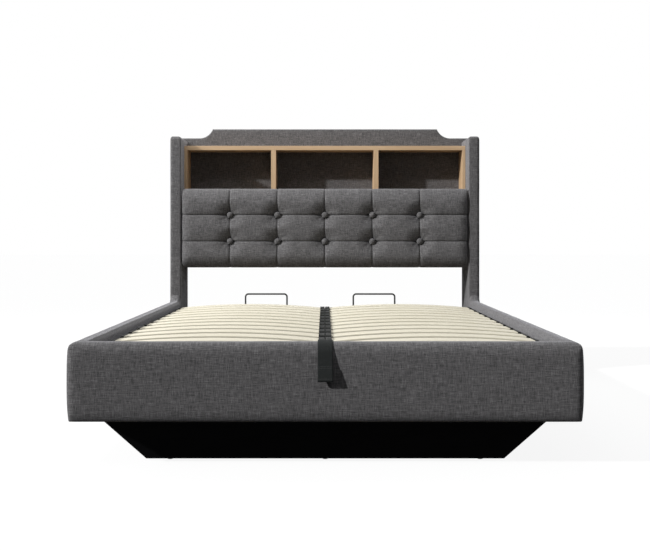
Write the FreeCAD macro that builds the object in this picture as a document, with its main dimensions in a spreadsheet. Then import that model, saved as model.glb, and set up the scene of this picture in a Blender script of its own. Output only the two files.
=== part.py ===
import FreeCAD, Part
import os
import re
import Sketcher

# Upholstered storage bed for a 1.4 x 2.0 m mattress, in millimetres.
# X runs across the bed, +Y to the head end, +Z up from the floor.

# Every size once
SIZES = {
    # Frame
    "overall_width": 1530,
    "plinth_height": 147,
    "rail_height": 234,
    "rail_width": 52,
    "foot_rail_depth": 55,
    "padding": 10,
    "flap_drop": 88,
    "rail_round": 15,
    "inner_round": 8,
    "foot_round": 20,
    "hem_round": 4,
    # Platform and slats
    "platform_length": 2000,
    "foot_gap": 10,
    "head_gap": 35,
    "tube_gap": 4,
    "tube_width": 30,
    "tube_height": 40,
    "tube_wall": 2,
    "tube_drop": 48,
    "slat_count": 12,
    "slat_width": 95,
    "slat_thickness": 8,
    "slat_crown": 18,
    "slat_round": 3,
    "slat_setback": 136,
    "slat_margin": 25.5,
    "slat_end_gap": 10,
    "holder_base": 10,
    "holder_height": 23,
    "holder_grip": 20,
    "holder_wall": 3,
    "holder_inset": 2,
    "holder_centre": 54,
    "seat_gap": 0.3,
    # Mattress hoops
    "hoop_width": 203,
    "hoop_rise": 84,
    "hoop_radius": 4,
    "hoop_bend": 14,
    "hoop_left_at": 287,
    "hoop_right_at": 241,
    # Headboard
    "wing_depth": 265,
    "wing_top": 1196,
    "wing_round": 12,
    "back_depth": 40,
    "back_bottom": 560,
    "back_top": 1258,
    "back_shoulder_run": 111.5,
    "back_scoop_run": 70,
    "back_scoop_drop": 47,
    "back_scoop_radius": 75,
    "back_round": 6,
    "shelf_recess": 128,
    "shelf_top": 1159,
    "shelf_floor": 870,
    "shelf_board": 22,
    "shelf_side_board": 16,
    "divider_board": 25,
    "side_bay": 424.5,
    "tuft_gap": 8,
    "tuft_bottom": 545,
    "tuft_top": 936,
    "tuft_proud": 25,
    "tuft_slab": 40,
    "tuft_rise": 30,
    "tuft_board": 18,
    "tuft_inset": 4,
    "tuft_columns": 6,
    "tuft_rows": 3,
    "tuft_corner": 40,
    "tuft_channel": 2,
    "button_radius": 15,
    "button_height": 18,
    "button_round": 10,
    # Storage box and plinth
    "floor_board": 15,
    "cleat_width": 20,
    "cleat_height": 12,
    "head_rail_gap": 60,
    "head_rail_board": 18,
    "head_rail_top": 310,
    "plinth_board": 18,
    "plinth_inset": 180,
    "plinth_side_inset": 39,
    "plinth_lean": 168.5,
    "plinth_side_run": 24,
    "glide_height": 2,
    "glide_radius": 8,
    "rest_width": 60,
    "rest_depth": 48,
    "rest_height": 60,
    "rest_at": 320,
    # Lift gear
    "pivot_setback": 60,
    "pivot_drop": 31,
    "pin_radius": 6,
    "running_gap": 0.05,
    "plate": 4,
    "arm_length": 420,
    "arm_flange": 34,
    "stud_reach": 120,
    "stud_rise": 16,
    "stud_radius": 5,
    "base_reach": 460,
    "base_gap": 13,
    "strut_gap": 39,
    "strut_radius": 14,
    "strut_bore": 12,
    "strut_length": 307,
    "rod_radius": 5,
    "rod_length": 130,
    "eye_radius": 9,
    "eye_width": 12,
    # Fixings
    "bracket_leg": 50,
    "bracket_height": 90,
    "bracket_plate": 3,
    "screw_radius": 2.5,
    "screw_length": 16,
    "head_radius": 5,
    "head_height": 3,
    # Pull strap
    "strap_width": 45,
    "strap_thickness": 4.5,
    "strap_reach": 27,
    "strap_drop": 113,
    "strap_bend": 6,
    "strap_lift": 1,
}

# Positions worked out from the sizes
FORMULAS = {
    "half": "overall_width / 2",
    "inner": "half - rail_width",
    "board_in": "inner + padding",
    "board_out": "half - padding",
    "rail_top": "plinth_height + rail_height",
    "flap_bottom": "rail_top - flap_drop",
    "foot_to_wing": "foot_rail_depth + foot_gap + platform_length + head_gap",
    "overall_length": "strap_reach + foot_to_wing + wing_depth + back_depth",
    "foot_front": "strap_reach - overall_length / 2",
    "foot_back": "foot_front + foot_rail_depth",
    "platform_foot": "foot_back + foot_gap",
    "platform_head": "platform_foot + platform_length",
    "wing_front": "foot_front + foot_to_wing",
    "wing_back": "wing_front + wing_depth",
    "back_rear": "wing_back + back_depth",
    "tube_top": "rail_top - tube_drop",
    "tube_bottom": "tube_top - tube_height",
    "tube_out": "inner - tube_gap",
    "tube_in": "tube_out - tube_width",
    "slat_first": "platform_foot + slat_setback",
    "slat_run": "platform_length - slat_setback - slat_margin - slat_width",
    "slat_pitch": "slat_run / (slat_count - 1)",
    "slat_seat": "tube_top + holder_base",
    "slat_outer": "tube_out - holder_inset - holder_wall",
    "slat_length": "slat_outer - slat_end_gap",
    "slat_radius": "slat_length * slat_length / (8 * slat_crown) + slat_crown / 2",
    "slat_half_turn": "asin(slat_length / (2 * (slat_radius + slat_thickness)))",
    "holder_first": "slat_first - holder_wall",
    "holder_width": "slat_width + 2 * holder_wall",
    "back_shoulder": "back_top - back_scoop_drop",
    "back_raised": "2 * (half - back_shoulder_run - back_scoop_run)",
    "tuft_width": "2 * (inner - tuft_gap)",
    "tuft_front": "wing_front - tuft_proud",
    "tuft_face": "tuft_front + tuft_rise",
    "tuft_rear": "tuft_face + tuft_slab",
    "panel_rear": "tuft_rear + tuft_board",
    "cell_width": "tuft_width / tuft_columns",
    "cell_height": "(tuft_top - tuft_bottom) / tuft_rows",
    "shelf_front": "wing_front + shelf_recess",
    "shelf_under": "shelf_top - shelf_board",
    "divider_at": "inner - shelf_side_board - side_bay - divider_board / 2",
    "floor_top": "plinth_height + floor_board",
    "head_rail_front": "platform_head + head_rail_gap",
    "plinth_top_half": "half - plinth_side_inset",
    "plinth_foot_half": "plinth_top_half - plinth_lean",
    "plinth_front": "foot_front + plinth_inset",
    "plinth_rear": "head_rail_front",
    "plinth_middle": "(plinth_front + plinth_rear) / 2",
    "pivot_y": "platform_head - pivot_setback",
    "pivot_height": "tube_bottom - pivot_drop",
    "stud_y": "pivot_y - stud_reach",
    "stud_z": "pivot_height + stud_rise",
    "base_y": "pivot_y - base_reach",
    "base_z": "floor_top + cleat_height + base_gap",
    "strut_at": "board_in - strut_gap",
    "hinge_face": "board_in - plate",
    "arm_in": "tube_out - plate",
    "strap_y": "foot_front + strap_bend - 2",
    "strap_z": "rail_top + strap_lift - strap_bend",
}

doc = FreeCAD.newDocument("StorageBed")
sheet = doc.addObject("Spreadsheet::Sheet", "Sizes")
for row, (name, number) in enumerate(SIZES.items(), start=1):
    sheet.set(f"A{row}", name)
    sheet.set(f"B{row}", str(number))
    sheet.setAlias(f"B{row}", name)
doc.recompute()

NODES = []
SIDES = (("left", -1), ("right", 1))
AXES = "xyz"


def ex(formula):
    """A formula in size names as an expression on the sheet's cells."""
    def swap(match):
        word = match.group()
        if word in SIZES:
            return "Sizes." + word
        if word in FORMULAS:
            return "(" + ex(FORMULAS[word]) + ")"
        return word
    return re.sub(r"[a-z][a-z0-9_]*", swap, str(formula))


def value(formula):
    result = sheet.evalExpression(ex(formula))
    return float(getattr(result, "Value", result))


def bind(item, prop, formula):
    item.setExpression(prop, ex(formula))


def across(side, near, far):
    """The x span between two distances from the middle, on one side of the bed."""
    if side > 0:
        return near, far
    return f"-({far})", f"-({near})"


def new_part(label):
    part = doc.addObject("PartDesign::Body", "Body")
    part.Label = label
    NODES.append(part)
    return part


def datum(part, role):
    return next(f for f in part.Origin.OriginFeatures if f.Role == role)


def block(part, x, y, z, cut=False):
    """A box between pairs of formulas, added to the part or cut from it."""
    kind = "Subtractive" if cut else "Additive"
    item = part.newObject(f"PartDesign::{kind}Box", "Block")
    for prop, axis, (low, high) in zip(("Length", "Width", "Height"), AXES, (x, y, z)):
        bind(item, prop, f"({high}) - ({low})")
        bind(item, f"Placement.Base.{axis}", low)
    return item


TURNS = {
    "x": FreeCAD.Rotation(FreeCAD.Vector(0, 1, 0), 90),
    "y": FreeCAD.Rotation(FreeCAD.Vector(1, 0, 0), -90),
    "z": FreeCAD.Rotation(),
}


def pin(part, radius, x, y, z, cut=False):
    """A cylinder along the axis that is given as a pair of formulas."""
    kind = "Subtractive" if cut else "Additive"
    item = part.newObject(f"PartDesign::{kind}Cylinder", "Pin")
    for axis, place in zip(AXES, (x, y, z)):
        low = place
        if isinstance(place, tuple):
            low, high = place
            bind(item, "Height", f"({high}) - ({low})")
            item.Placement = FreeCAD.Placement(FreeCAD.Vector(), TURNS[axis])
        bind(item, f"Placement.Base.{axis}", low)
    bind(item, "Radius", radius)
    return item


def edges_on(shape, *corners):
    """Names of the edges that lie on two outer faces, such as x+z+."""
    box = shape.BoundBox
    limits = {"x-": box.XMin, "x+": box.XMax, "y-": box.YMin, "y+": box.YMax,
              "z-": box.ZMin, "z+": box.ZMax}
    names = []
    for number, edge in enumerate(shape.Edges, start=1):
        span = edge.BoundBox
        lows = {"x": span.XMin, "y": span.YMin, "z": span.ZMin}
        highs = {"x": span.XMax, "y": span.YMax, "z": span.ZMax}
        for corner in corners:
            faces = (corner[:2], corner[2:])
            if all(abs(lows[f[0]] - limits[f]) < 0.01 and abs(highs[f[0]] - limits[f]) < 0.01
                   for f in faces):
                names.append(f"Edge{number}")
                break
    return names


def round_edges(part, base, radius, names):
    item = part.newObject("PartDesign::Fillet", "Round")
    item.Base = (base, names)
    bind(item, "Radius", radius)
    doc.recompute()
    return item


def round_corners(part, base, radius, *corners):
    doc.recompute()
    return round_edges(part, base, radius, edges_on(base.Shape, *corners))


def row(part, axis, count, pitch):
    item = part.newObject("PartDesign::LinearPattern", "Row")
    item.Direction = (datum(part, f"{axis.upper()}_Axis"), [""])
    item.Mode = "Spacing"
    bind(item, "Offset", pitch)
    bind(item, "Occurrences", count)
    return item


def repeat(part, originals, axis, count, pitch):
    item = row(part, axis, count, pitch)
    item.Originals = originals
    part.Tip = item


def repeat_grid(part, originals, *rows):
    grid = part.newObject("PartDesign::MultiTransform", "Grid")
    grid.Originals = originals
    grid.Transformations = [row(part, *each) for each in rows]
    part.Tip = grid


def outline(part, role, points, offset=None, closed=True):
    """A sketch through points; a point may carry the radius and turn of an arc to the next."""
    sketch = part.newObject("Sketcher::SketchObject", "Outline")
    sketch.AttachmentSupport = [(datum(part, role), "")]
    sketch.MapMode = "FlatFace"
    if offset is not None:
        bind(sketch, "AttachmentOffset.Base.z", offset)
    spots = [FreeCAD.Vector(value(p[0]), value(p[1]), 0) for p in points]
    count = len(points) if closed else len(points) - 1
    ends = []
    for i in range(count):
        start, end = spots[i], spots[(i + 1) % len(points)]
        if len(points[i]) == 2:
            sketch.addGeometry(Part.LineSegment(start, end))
            ends.append((1, 2))
            continue
        radius, turn = value(points[i][2]), points[i][3]
        chord = end - start
        rise = (radius ** 2 - (chord.Length / 2) ** 2) ** 0.5
        normal = FreeCAD.Vector(-chord.y, chord.x, 0).normalize()
        centre = (start + end) * 0.5 + normal * (rise * turn)
        middle = centre - normal * (radius * turn)
        sketch.addGeometry(Part.Arc(start, middle, end))
        ends.append((1, 2) if turn > 0 else (2, 1))
    for i in range(count):
        if i + 1 < count or closed:
            after = (i + 1) % count
            sketch.addConstraint(
                Sketcher.Constraint("Coincident", i, ends[i][1], after, ends[after][0]))
    for i, point in enumerate(points):
        piece, end = (i, ends[i][0]) if i < count else (count - 1, ends[count - 1][1])
        for kind, formula in (("DistanceX", point[0]), ("DistanceY", point[1])):
            number = sketch.addConstraint(
                Sketcher.Constraint(kind, -1, 1, piece, end, value(formula)))
            bind(sketch, f"Constraints[{number}]", formula)
        if len(point) == 4:
            number = sketch.addConstraint(Sketcher.Constraint("Radius", i, value(point[2])))
            bind(sketch, f"Constraints[{number}]", point[2])
    doc.recompute()
    return sketch


def pad(part, sketch, length, midplane=False, reverse=False):
    item = part.newObject("PartDesign::Pad", "Pad")
    item.Profile = sketch
    bind(item, "Length", length)
    item.Midplane = midplane
    item.Reversed = reverse
    return item


def move(part, **places):
    for axis, formula in places.items():
        bind(part, f"Placement.Base.{axis}", formula)


def screw(part, x, y, z, axis, way):
    """A countersunk-size screw: the head stands on the point, the shank runs the way given."""
    spans = []
    for name, place in zip(AXES, (x, y, z)):
        if name == axis:
            shank = (place, f"{place} + screw_length") if way > 0 else (f"{place} - screw_length", place)
            head = (f"{place} - head_height", place) if way > 0 else (place, f"{place} + head_height")
            spans.append((shank, head))
        else:
            spans.append((place, place))
    pin(part, "screw_radius", *(s[0] for s in spans))
    return pin(part, "head_radius", *(s[1] for s in spans))


def pilot(part, x, y, z, axis, way):
    """The hole that a screw's shank runs in, from the point the way given."""
    spans = []
    for name, place in zip(AXES, (x, y, z)):
        if name == axis:
            near = f"{place} - 1" if way > 0 else f"{place} - screw_length - 1"
            far = f"{place} + screw_length + 1" if way > 0 else f"{place} + 1"
            spans.append((near, far))
        else:
            spans.append(place)
    return pin(part, "screw_radius", *spans, cut=True)


# Plinth: black boards under the storage floor, leaning in to the ground
def slope(level, inset="0"):
    """Half-width of the plinth at a level."""
    return (f"plinth_foot_half + (plinth_top_half - plinth_foot_half) * ({level}) / plinth_height"
            f" - ({inset})")


def cross_board(label, front, inset):
    part = new_part(label)
    corners = []
    for side, level in ((-1, "glide_height"), (1, "glide_height"), (1, "plinth_height"),
                        (-1, "plinth_height")):
        corners.append((f"{side} * ({slope(level, inset)})", level))
    pad(part, outline(part, "XZ_Plane", corners), "plinth_board", reverse=True)
    move(part, y=front)


cross_board("plinth_front_board", "plinth_front", "0")
cross_board("plinth_middle_board", "plinth_middle - plinth_board / 2", "plinth_side_run")
cross_board("plinth_rear_board", "plinth_rear - plinth_board", "0")

for side, way in SIDES:
    part = new_part(f"plinth_{side}_board")
    corners = [(f"{way} * ({slope('glide_height')})", "glide_height"),
               (f"{way} * ({slope('plinth_height')})", "plinth_height"),
               (f"{way} * ({slope('plinth_height', 'plinth_side_run')})", "plinth_height"),
               (f"{way} * ({slope('glide_height', 'plinth_side_run')})", "glide_height")]
    pad(part, outline(part, "XZ_Plane", corners),
        "plinth_rear - plinth_front - 2 * plinth_board", reverse=True)
    move(part, y="plinth_front + plinth_board")

part = new_part("plinth_glides")
for line in ("plinth_front + plinth_board / 2", "plinth_middle", "plinth_rear - plinth_board / 2"):
    for place in (-1, 0, 1):
        pin(part, "glide_radius", f"{place} * (plinth_foot_half - 3 * plinth_side_run)", line,
            ("0", "glide_height"))

# Storage floor: two panels that meet over the middle plinth board, with cleats along the rails
for label, span in (("storage_floor_front", ("foot_back", "plinth_middle")),
                    ("storage_floor_rear", ("plinth_middle", "head_rail_front"))):
    block(new_part(label), ("-inner", "inner"), span, ("plinth_height", "floor_top"))

CLEAT = ("floor_top", "floor_top + cleat_height")
part = new_part("floor_cleats")
for side, way in SIDES:
    block(part, across(way, "board_in - cleat_width", "board_in"), ("foot_back", "wing_front"), CLEAT)
block(part, ("cleat_width + 1 - board_in", "board_in - cleat_width - 1"),
      ("foot_back - padding", "foot_back - padding + cleat_width"), CLEAT)
block(part, ("-inner", "inner"), ("head_rail_front - cleat_width", "head_rail_front"), CLEAT)
block(new_part("head_rail"), ("-inner", "inner"),
      ("head_rail_front", "head_rail_front + head_rail_board"), ("plinth_height", "head_rail_top"))

# Fixing places: foot corner angles, plates over the rail and wing joints, hinge brackets
ANGLE_Z = ("base_z - 2", "base_z - 2 + bracket_height")
ANGLE_HOLES = ("base_z - 2 + bracket_height / 4", "base_z - 2 + bracket_height * 3 / 4")
FOOT_FACE = "foot_back - padding"
PLATE_Z = ("base_z - 5", "base_z - 5 + bracket_height")
PLATE_REAR = "wing_front + 16"
PLATE_HOLES = ("base_z - 5 + bracket_height / 4", "base_z - 5 + bracket_height * 3 / 4")
HINGE_HOLES = (("base_y + 55", "base_z + 12"), ("base_y + 180", "base_z + 20"),
               ("base_y + 310", "base_z + 28"), ("base_y + 425", "base_z + 28"))

# Foot rail: a board in a padded cover that wraps the top, front, ends and part of the inside
part = new_part("foot_rail_board")
block(part, ("-board_out", "board_out"), ("foot_front + padding", FOOT_FACE),
      ("plinth_height", "rail_top - padding"))
for way in (-1, 1):
    for level in ANGLE_HOLES:
        pilot(part, f"{way} * (board_in - bracket_leg / 2)", FOOT_FACE, level, "y", -1)

part = new_part("foot_rail_cover")
skin = block(part, ("-half", "half"), ("foot_front", "foot_back"), ("plinth_height", "rail_top"))
skin = round_corners(part, skin, "foot_round", "x-y-", "x+y-", "y-z+", "x-z+", "x+z+")
skin = round_corners(part, skin, "inner_round", "y+z+")
skin = round_corners(part, skin, "hem_round", "y-z-")
block(part, ("-board_out", "board_out"), ("foot_front + padding", FOOT_FACE),
      ("plinth_height - 1", "rail_top - padding"), cut=True)
block(part, ("-board_in", "board_in"), (FOOT_FACE, "foot_back + 1"),
      ("plinth_height - 1", "flap_bottom"), cut=True)

# Side rails: the same build, between the foot rail and the wings
for side, way in SIDES:
    part = new_part(f"{side}_rail_board")
    block(part, across(way, "board_in", "board_out"), ("foot_back", "wing_front"),
          ("plinth_height", "rail_top - padding"))
    for level in ANGLE_HOLES:
        pilot(part, f"{way} * board_in", "foot_back + bracket_leg / 2", level, "x", way)
    for level in PLATE_HOLES:
        pilot(part, f"{way} * board_in", "wing_front - bracket_leg / 2", level, "x", way)
    for along, level in HINGE_HOLES:
        pilot(part, f"{way} * board_in", along, level, "x", way)

    part = new_part(f"{side}_rail_cover")
    skin = block(part, across(way, "inner", "half"), ("foot_back", "wing_front"),
                 ("plinth_height", "rail_top"))
    outer, near = ("x+", "x-") if way > 0 else ("x-", "x+")
    skin = round_corners(part, skin, "rail_round", f"{outer}z+")
    skin = round_corners(part, skin, "inner_round", f"{near}z+")
    skin = round_corners(part, skin, "hem_round", f"{outer}z-")
    block(part, across(way, "board_in", "board_out"), ("foot_back - 1", "wing_front + 1"),
          ("plinth_height - 1", "rail_top - padding"), cut=True)
    block(part, across(way, "inner - 1", "board_in"), ("foot_back - 1", "wing_front + 1"),
          ("plinth_height - 1", "flap_bottom"), cut=True)

# Wings: upright boards in padded covers, open at the back and underneath
for side, way in SIDES:
    part = new_part(f"{side}_wing_board")
    block(part, across(way, "board_in", "board_out"), ("wing_front + padding", "wing_back"),
          ("plinth_height", "wing_top - padding"))
    for level in PLATE_HOLES:
        pilot(part, f"{way} * inner", PLATE_REAR, level, "x", way)

    part = new_part(f"{side}_wing_cover")
    skin = block(part, across(way, "inner", "half"), ("wing_front", "wing_back"),
                 ("plinth_height", "wing_top"))
    outer, near = ("x+", "x-") if way > 0 else ("x-", "x+")
    skin = round_corners(part, skin, "wing_round", f"{outer}z+", f"{near}z+", f"{outer}y-",
                         f"{near}y-", "y-z+")
    block(part, across(way, "board_in", "board_out"), ("wing_front + padding", "wing_back + 1"),
          ("plinth_height - 1", "wing_top - padding"), cut=True)
    for level in PLATE_HOLES:
        pilot(part, f"{way} * inner", PLATE_REAR, level, "x", way)


# Back panel: a board in a padded cover, its raised middle reached by scooped corners
def back_outline(part, inset):
    """The back panel's front view, drawn in by the inset except at the open bottom."""
    side, top = f"half - {inset}", f"back_top - {inset}"
    shoulder, raised = f"back_shoulder - {inset}", f"back_raised / 2 - {inset}"
    scoop = f"back_raised / 2 + back_scoop_run - {inset}"
    points = [(f"-({side})", "back_bottom"), (side, "back_bottom"), (side, shoulder),
              (scoop, shoulder, "back_scoop_radius", -1), (raised, top),
              (f"-({raised})", top, "back_scoop_radius", -1), (f"-({scoop})", shoulder),
              (f"-({side})", shoulder)]
    return outline(part, "XZ_Plane", points)


part = new_part("back_panel_board")
pad(part, back_outline(part, "padding"), "back_depth - 2 * padding", reverse=True)
move(part, y="wing_back + padding")

part = new_part("back_panel_cover")
skin = pad(part, back_outline(part, "0"), "back_depth", reverse=True)
skin = round_corners(part, skin, "back_round", "x-y-", "x-y+", "x+y-", "x+y+")
hollow = back_outline(part, "padding")
bind(hollow, "AttachmentOffset.Base.z", "-padding")
cut = part.newObject("PartDesign::Pocket", "Hollow")
cut.Profile = hollow
cut.Reversed = False
bind(cut, "Length", "back_depth - 2 * padding")
move(part, y="wing_back")

# Shelf: bare boards between the wings, in front of the back panel
block(new_part("shelf_top_board"), ("-inner", "inner"), ("shelf_front", "wing_back"),
      ("shelf_under", "shelf_top"))
block(new_part("shelf_bottom_board"), ("-inner", "inner"), ("panel_rear", "wing_back"),
      ("shelf_floor - shelf_board", "shelf_floor"))
for side, way in SIDES:
    block(new_part(f"shelf_{side}_board"), across(way, "inner - shelf_side_board", "inner"),
          ("shelf_front", "wing_back"), ("shelf_floor", "shelf_under"))
    block(new_part(f"shelf_{side}_divider"),
          across(way, "divider_at - divider_board / 2", "divider_at + divider_board / 2"),
          ("shelf_front", "wing_back"), ("shelf_floor", "shelf_under"))

# Tufted panel: a board, a pad of crowned cells with channels between, and covered buttons
block(new_part("tufted_panel_board"), ("tuft_inset - tuft_width / 2", "tuft_width / 2 - tuft_inset"),
      ("tuft_rear", "panel_rear"), ("tuft_bottom + tuft_inset", "tuft_top - tuft_inset"))


def cell_ring(part, offset, inset, corner):
    """One ring of a tufted cell, a rectangle with round corners."""
    wide, high = f"cell_width / 2 - ({inset})", f"cell_height / 2 - ({inset})"
    near_x, near_z = f"{wide} - ({corner})", f"{high} - ({corner})"
    points = []
    for sx, sz, first in ((1, -1, "z"), (1, 1, "x"), (-1, 1, "z"), (-1, -1, "x")):
        before = (f"{sx} * ({near_x})", f"{sz} * ({high})")
        after = (f"{sx} * ({wide})", f"{sz} * ({near_z})")
        if first == "x":
            before, after = after, before
        points.append(before + (corner, 1))
        points.append(after)
    return outline(part, "XZ_Plane", points, offset)


part = new_part("tufted_pad")
slab = block(part, ("-cell_width / 2", "tuft_width - cell_width / 2"), ("0", "tuft_slab"),
             ("-cell_height / 2", "tuft_top - tuft_bottom - cell_height / 2"))
rings = [cell_ring(part, "0", "tuft_channel", "tuft_corner"),
         cell_ring(part, "tuft_rise * 0.45", "tuft_channel + 3", "tuft_corner"),
         cell_ring(part, "tuft_rise * 0.8", "tuft_channel + 12", "tuft_corner - 5"),
         cell_ring(part, "tuft_rise * 0.95", "tuft_channel + 24", "tuft_corner - 15"),
         cell_ring(part, "tuft_rise", "tuft_channel + 42", "tuft_corner - 30")]
cell = part.newObject("PartDesign::AdditiveLoft", "Cell")
cell.Profile = rings[0]
cell.Sections = rings[1:]
doc.recompute()
repeat_grid(part, [cell], ("x", "tuft_columns", "cell_width"), ("z", "tuft_rows", "cell_height"))
move(part, x="cell_width / 2 - tuft_width / 2", y="tuft_face", z="tuft_bottom + cell_height / 2")

part = new_part("tuft_buttons")
dome = pin(part, "button_radius", "0", ("-button_height", "0"), "0")
doc.recompute()
names = [f"Edge{n}" for n, e in enumerate(dome.Shape.Edges, start=1)
         if e.BoundBox.YLength < 0.01 and e.BoundBox.YMax < -1]
crown = round_edges(part, dome, "button_round", names)
repeat_grid(part, [dome, crown], ("x", "tuft_columns - 1", "cell_width"),
            ("z", "tuft_rows - 1", "cell_height"))
move(part, x="cell_width - tuft_width / 2", y="tuft_face", z="tuft_bottom + cell_height")

part = new_part("panel_brackets")
for side, way in SIDES:
    for level in ("tuft_bottom + bracket_leg", "shelf_floor - shelf_board - 2 * bracket_leg"):
        block(part, across(way, "inner - bracket_plate", "inner"),
              ("panel_rear", "panel_rear + bracket_leg"), (level, f"{level} + bracket_leg"))
        block(part, across(way, "inner - 1.6 * bracket_leg", "inner"),
              ("panel_rear", "panel_rear + bracket_plate"), (level, f"{level} + bracket_leg"))

# Fixings of the frame
part = new_part("corner_brackets")
for side, way in SIDES:
    block(part, across(way, "board_in - bracket_plate", "board_in"),
          (FOOT_FACE, "foot_back + bracket_leg"), ANGLE_Z)
    block(part, across(way, "board_in - bracket_leg", "board_in"),
          (FOOT_FACE, f"{FOOT_FACE} + bracket_plate"), ANGLE_Z)
    for level in ANGLE_HOLES:
        pin(part, "screw_radius + running_gap", across(way, "board_in - bracket_plate - 1", "board_in + 1"),
            "foot_back + bracket_leg / 2", level, cut=True)
        pin(part, "screw_radius + running_gap", f"{way} * (board_in - bracket_leg / 2)",
            (f"{FOOT_FACE} - 1", f"{FOOT_FACE} + bracket_plate + 1"), level, cut=True)

part = new_part("frame_screws")
for side, way in SIDES:
    for level in ANGLE_HOLES:
        screw(part, f"{way} * (board_in - bracket_plate)", "foot_back + bracket_leg / 2", level, "x", way)
        screw(part, f"{way} * (board_in - bracket_leg / 2)", f"{FOOT_FACE} + bracket_plate", level, "y", -1)
    for level in PLATE_HOLES:
        screw(part, f"{way} * (board_in - bracket_plate)", "wing_front - bracket_leg / 2", level, "x", way)
        screw(part, f"{way} * (inner - bracket_plate)", PLATE_REAR, level, "x", way)
    for along, level in HINGE_HOLES:
        screw(part, f"{way} * hinge_face", along, level, "x", way)

part = new_part("wing_plates")
for side, way in SIDES:
    block(part, across(way, "inner - bracket_plate", "inner"), ("wing_front", "head_rail_front - 1"),
          PLATE_Z)
    block(part, across(way, "inner - bracket_plate", "board_in"),
          ("wing_front - bracket_plate", "wing_front"), PLATE_Z)
    block(part, across(way, "board_in - bracket_plate", "board_in"),
          ("wing_front - bracket_leg", "wing_front"), PLATE_Z)
    for level in PLATE_HOLES:
        pin(part, "screw_radius + running_gap", across(way, "board_in - bracket_plate - 1", "board_in + 1"),
            "wing_front - bracket_leg / 2", level, cut=True)
        pin(part, "screw_radius + running_gap", across(way, "inner - bracket_plate - 1", "inner + 1"),
            PLATE_REAR, level, cut=True)

part = new_part("rest_blocks")
for way in (-1, 1):
    block(part, across(way, "rest_at", "rest_at + rest_width"), (FOOT_FACE, f"{FOOT_FACE} + rest_depth"),
          ("tube_bottom - rest_height", "tube_bottom"))

# Lift hinges: a plate on each rail with a pivot pin and a strut stud
for side, way in SIDES:
    part = new_part(f"{side}_hinge_bracket")
    corners = [("base_y - 24", "base_z - 11"), ("base_y + 60", "base_z - 11"),
               ("pivot_y - 60", "base_z"), ("pivot_y + 24", "base_z"),
               ("pivot_y + 24", "pivot_height + 22"), ("pivot_y - 30", "pivot_height + 22"),
               ("pivot_y - 150", "base_z + 50"), ("base_y - 24", "base_z + 24")]
    pad(part, outline(part, "YZ_Plane", corners), "plate", reverse=way > 0)
    move(part, x=f"{way} * board_in")
    pin(part, "pin_radius * 1.5", across(way, "tube_out + 1 - board_in", "-plate / 2")
        if way > 0 else ("plate / 2", "board_in - tube_out - 1"), "pivot_y", "pivot_height")
    pin(part, "pin_radius", ("arm_in - 10 - board_in", "-plate / 2")
        if way > 0 else ("plate / 2", "board_in - arm_in + 10"), "pivot_y", "pivot_height")
    pin(part, "stud_radius", ("strut_at - eye_width / 2 - 4 - board_in", "-plate / 2")
        if way > 0 else ("plate / 2", "board_in - strut_at + eye_width / 2 + 4"), "base_y", "base_z")
    for along, level in HINGE_HOLES:
        pin(part, "screw_radius + running_gap", ("-plate - 1", "1") if way > 0 else ("-1", "plate + 1"),
            along, level, cut=True)

part = new_part("pivot_nuts")
for side, way in SIDES:
    place = across(way, "arm_in - 8", "arm_in - 1")
    pin(part, "pin_radius * 1.7", place, "pivot_y", "pivot_height")
    pin(part, "pin_radius", place, "pivot_y", "pivot_height", cut=True)

# Platform: a welded frame of steel tube
def tube(label, x, y, bore):
    part = new_part(label)
    block(part, x, y, ("tube_bottom", "tube_top"))
    inside = ("tube_bottom + tube_wall", "tube_top - tube_wall")
    low, high = x if bore == "x" else y
    length = (f"{low} - 1", f"{high} + 1")
    low, high = y if bore == "x" else x
    width = (f"{low} + tube_wall", f"{high} - tube_wall")
    spans = (length, width) if bore == "x" else (width, length)
    block(part, *spans, inside, cut=True)
    return part


for side, way in SIDES:
    tube(f"{side}_platform_tube", across(way, "tube_in", "tube_out"), ("platform_foot", "platform_head"), "y")
BETWEEN = ("-tube_in", "tube_in")
tube("foot_platform_tube", BETWEEN, ("platform_foot", "platform_foot + tube_width"), "x")
head_tube = tube("head_platform_tube", BETWEEN, ("platform_head - tube_width", "platform_head"), "x")
tube("centre_platform_tube", ("-tube_width / 2", "tube_width / 2"),
     ("platform_foot + tube_width", "platform_head - tube_width"), "y")

part = new_part("cross_platform_tubes")
CROSS_Y = "platform_foot + platform_length / 2"
for side, way in SIDES:
    block(part, across(way, "tube_width / 2", "tube_in"), (CROSS_Y, f"{CROSS_Y} + tube_width"),
          ("tube_bottom", "tube_top"))
    block(part, across(way, "tube_width / 2 - 1", "tube_in + 1"),
          (f"{CROSS_Y} + tube_wall", f"{CROSS_Y} + tube_width - tube_wall"),
          ("tube_bottom + tube_wall", "tube_top - tube_wall"), cut=True)

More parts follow.
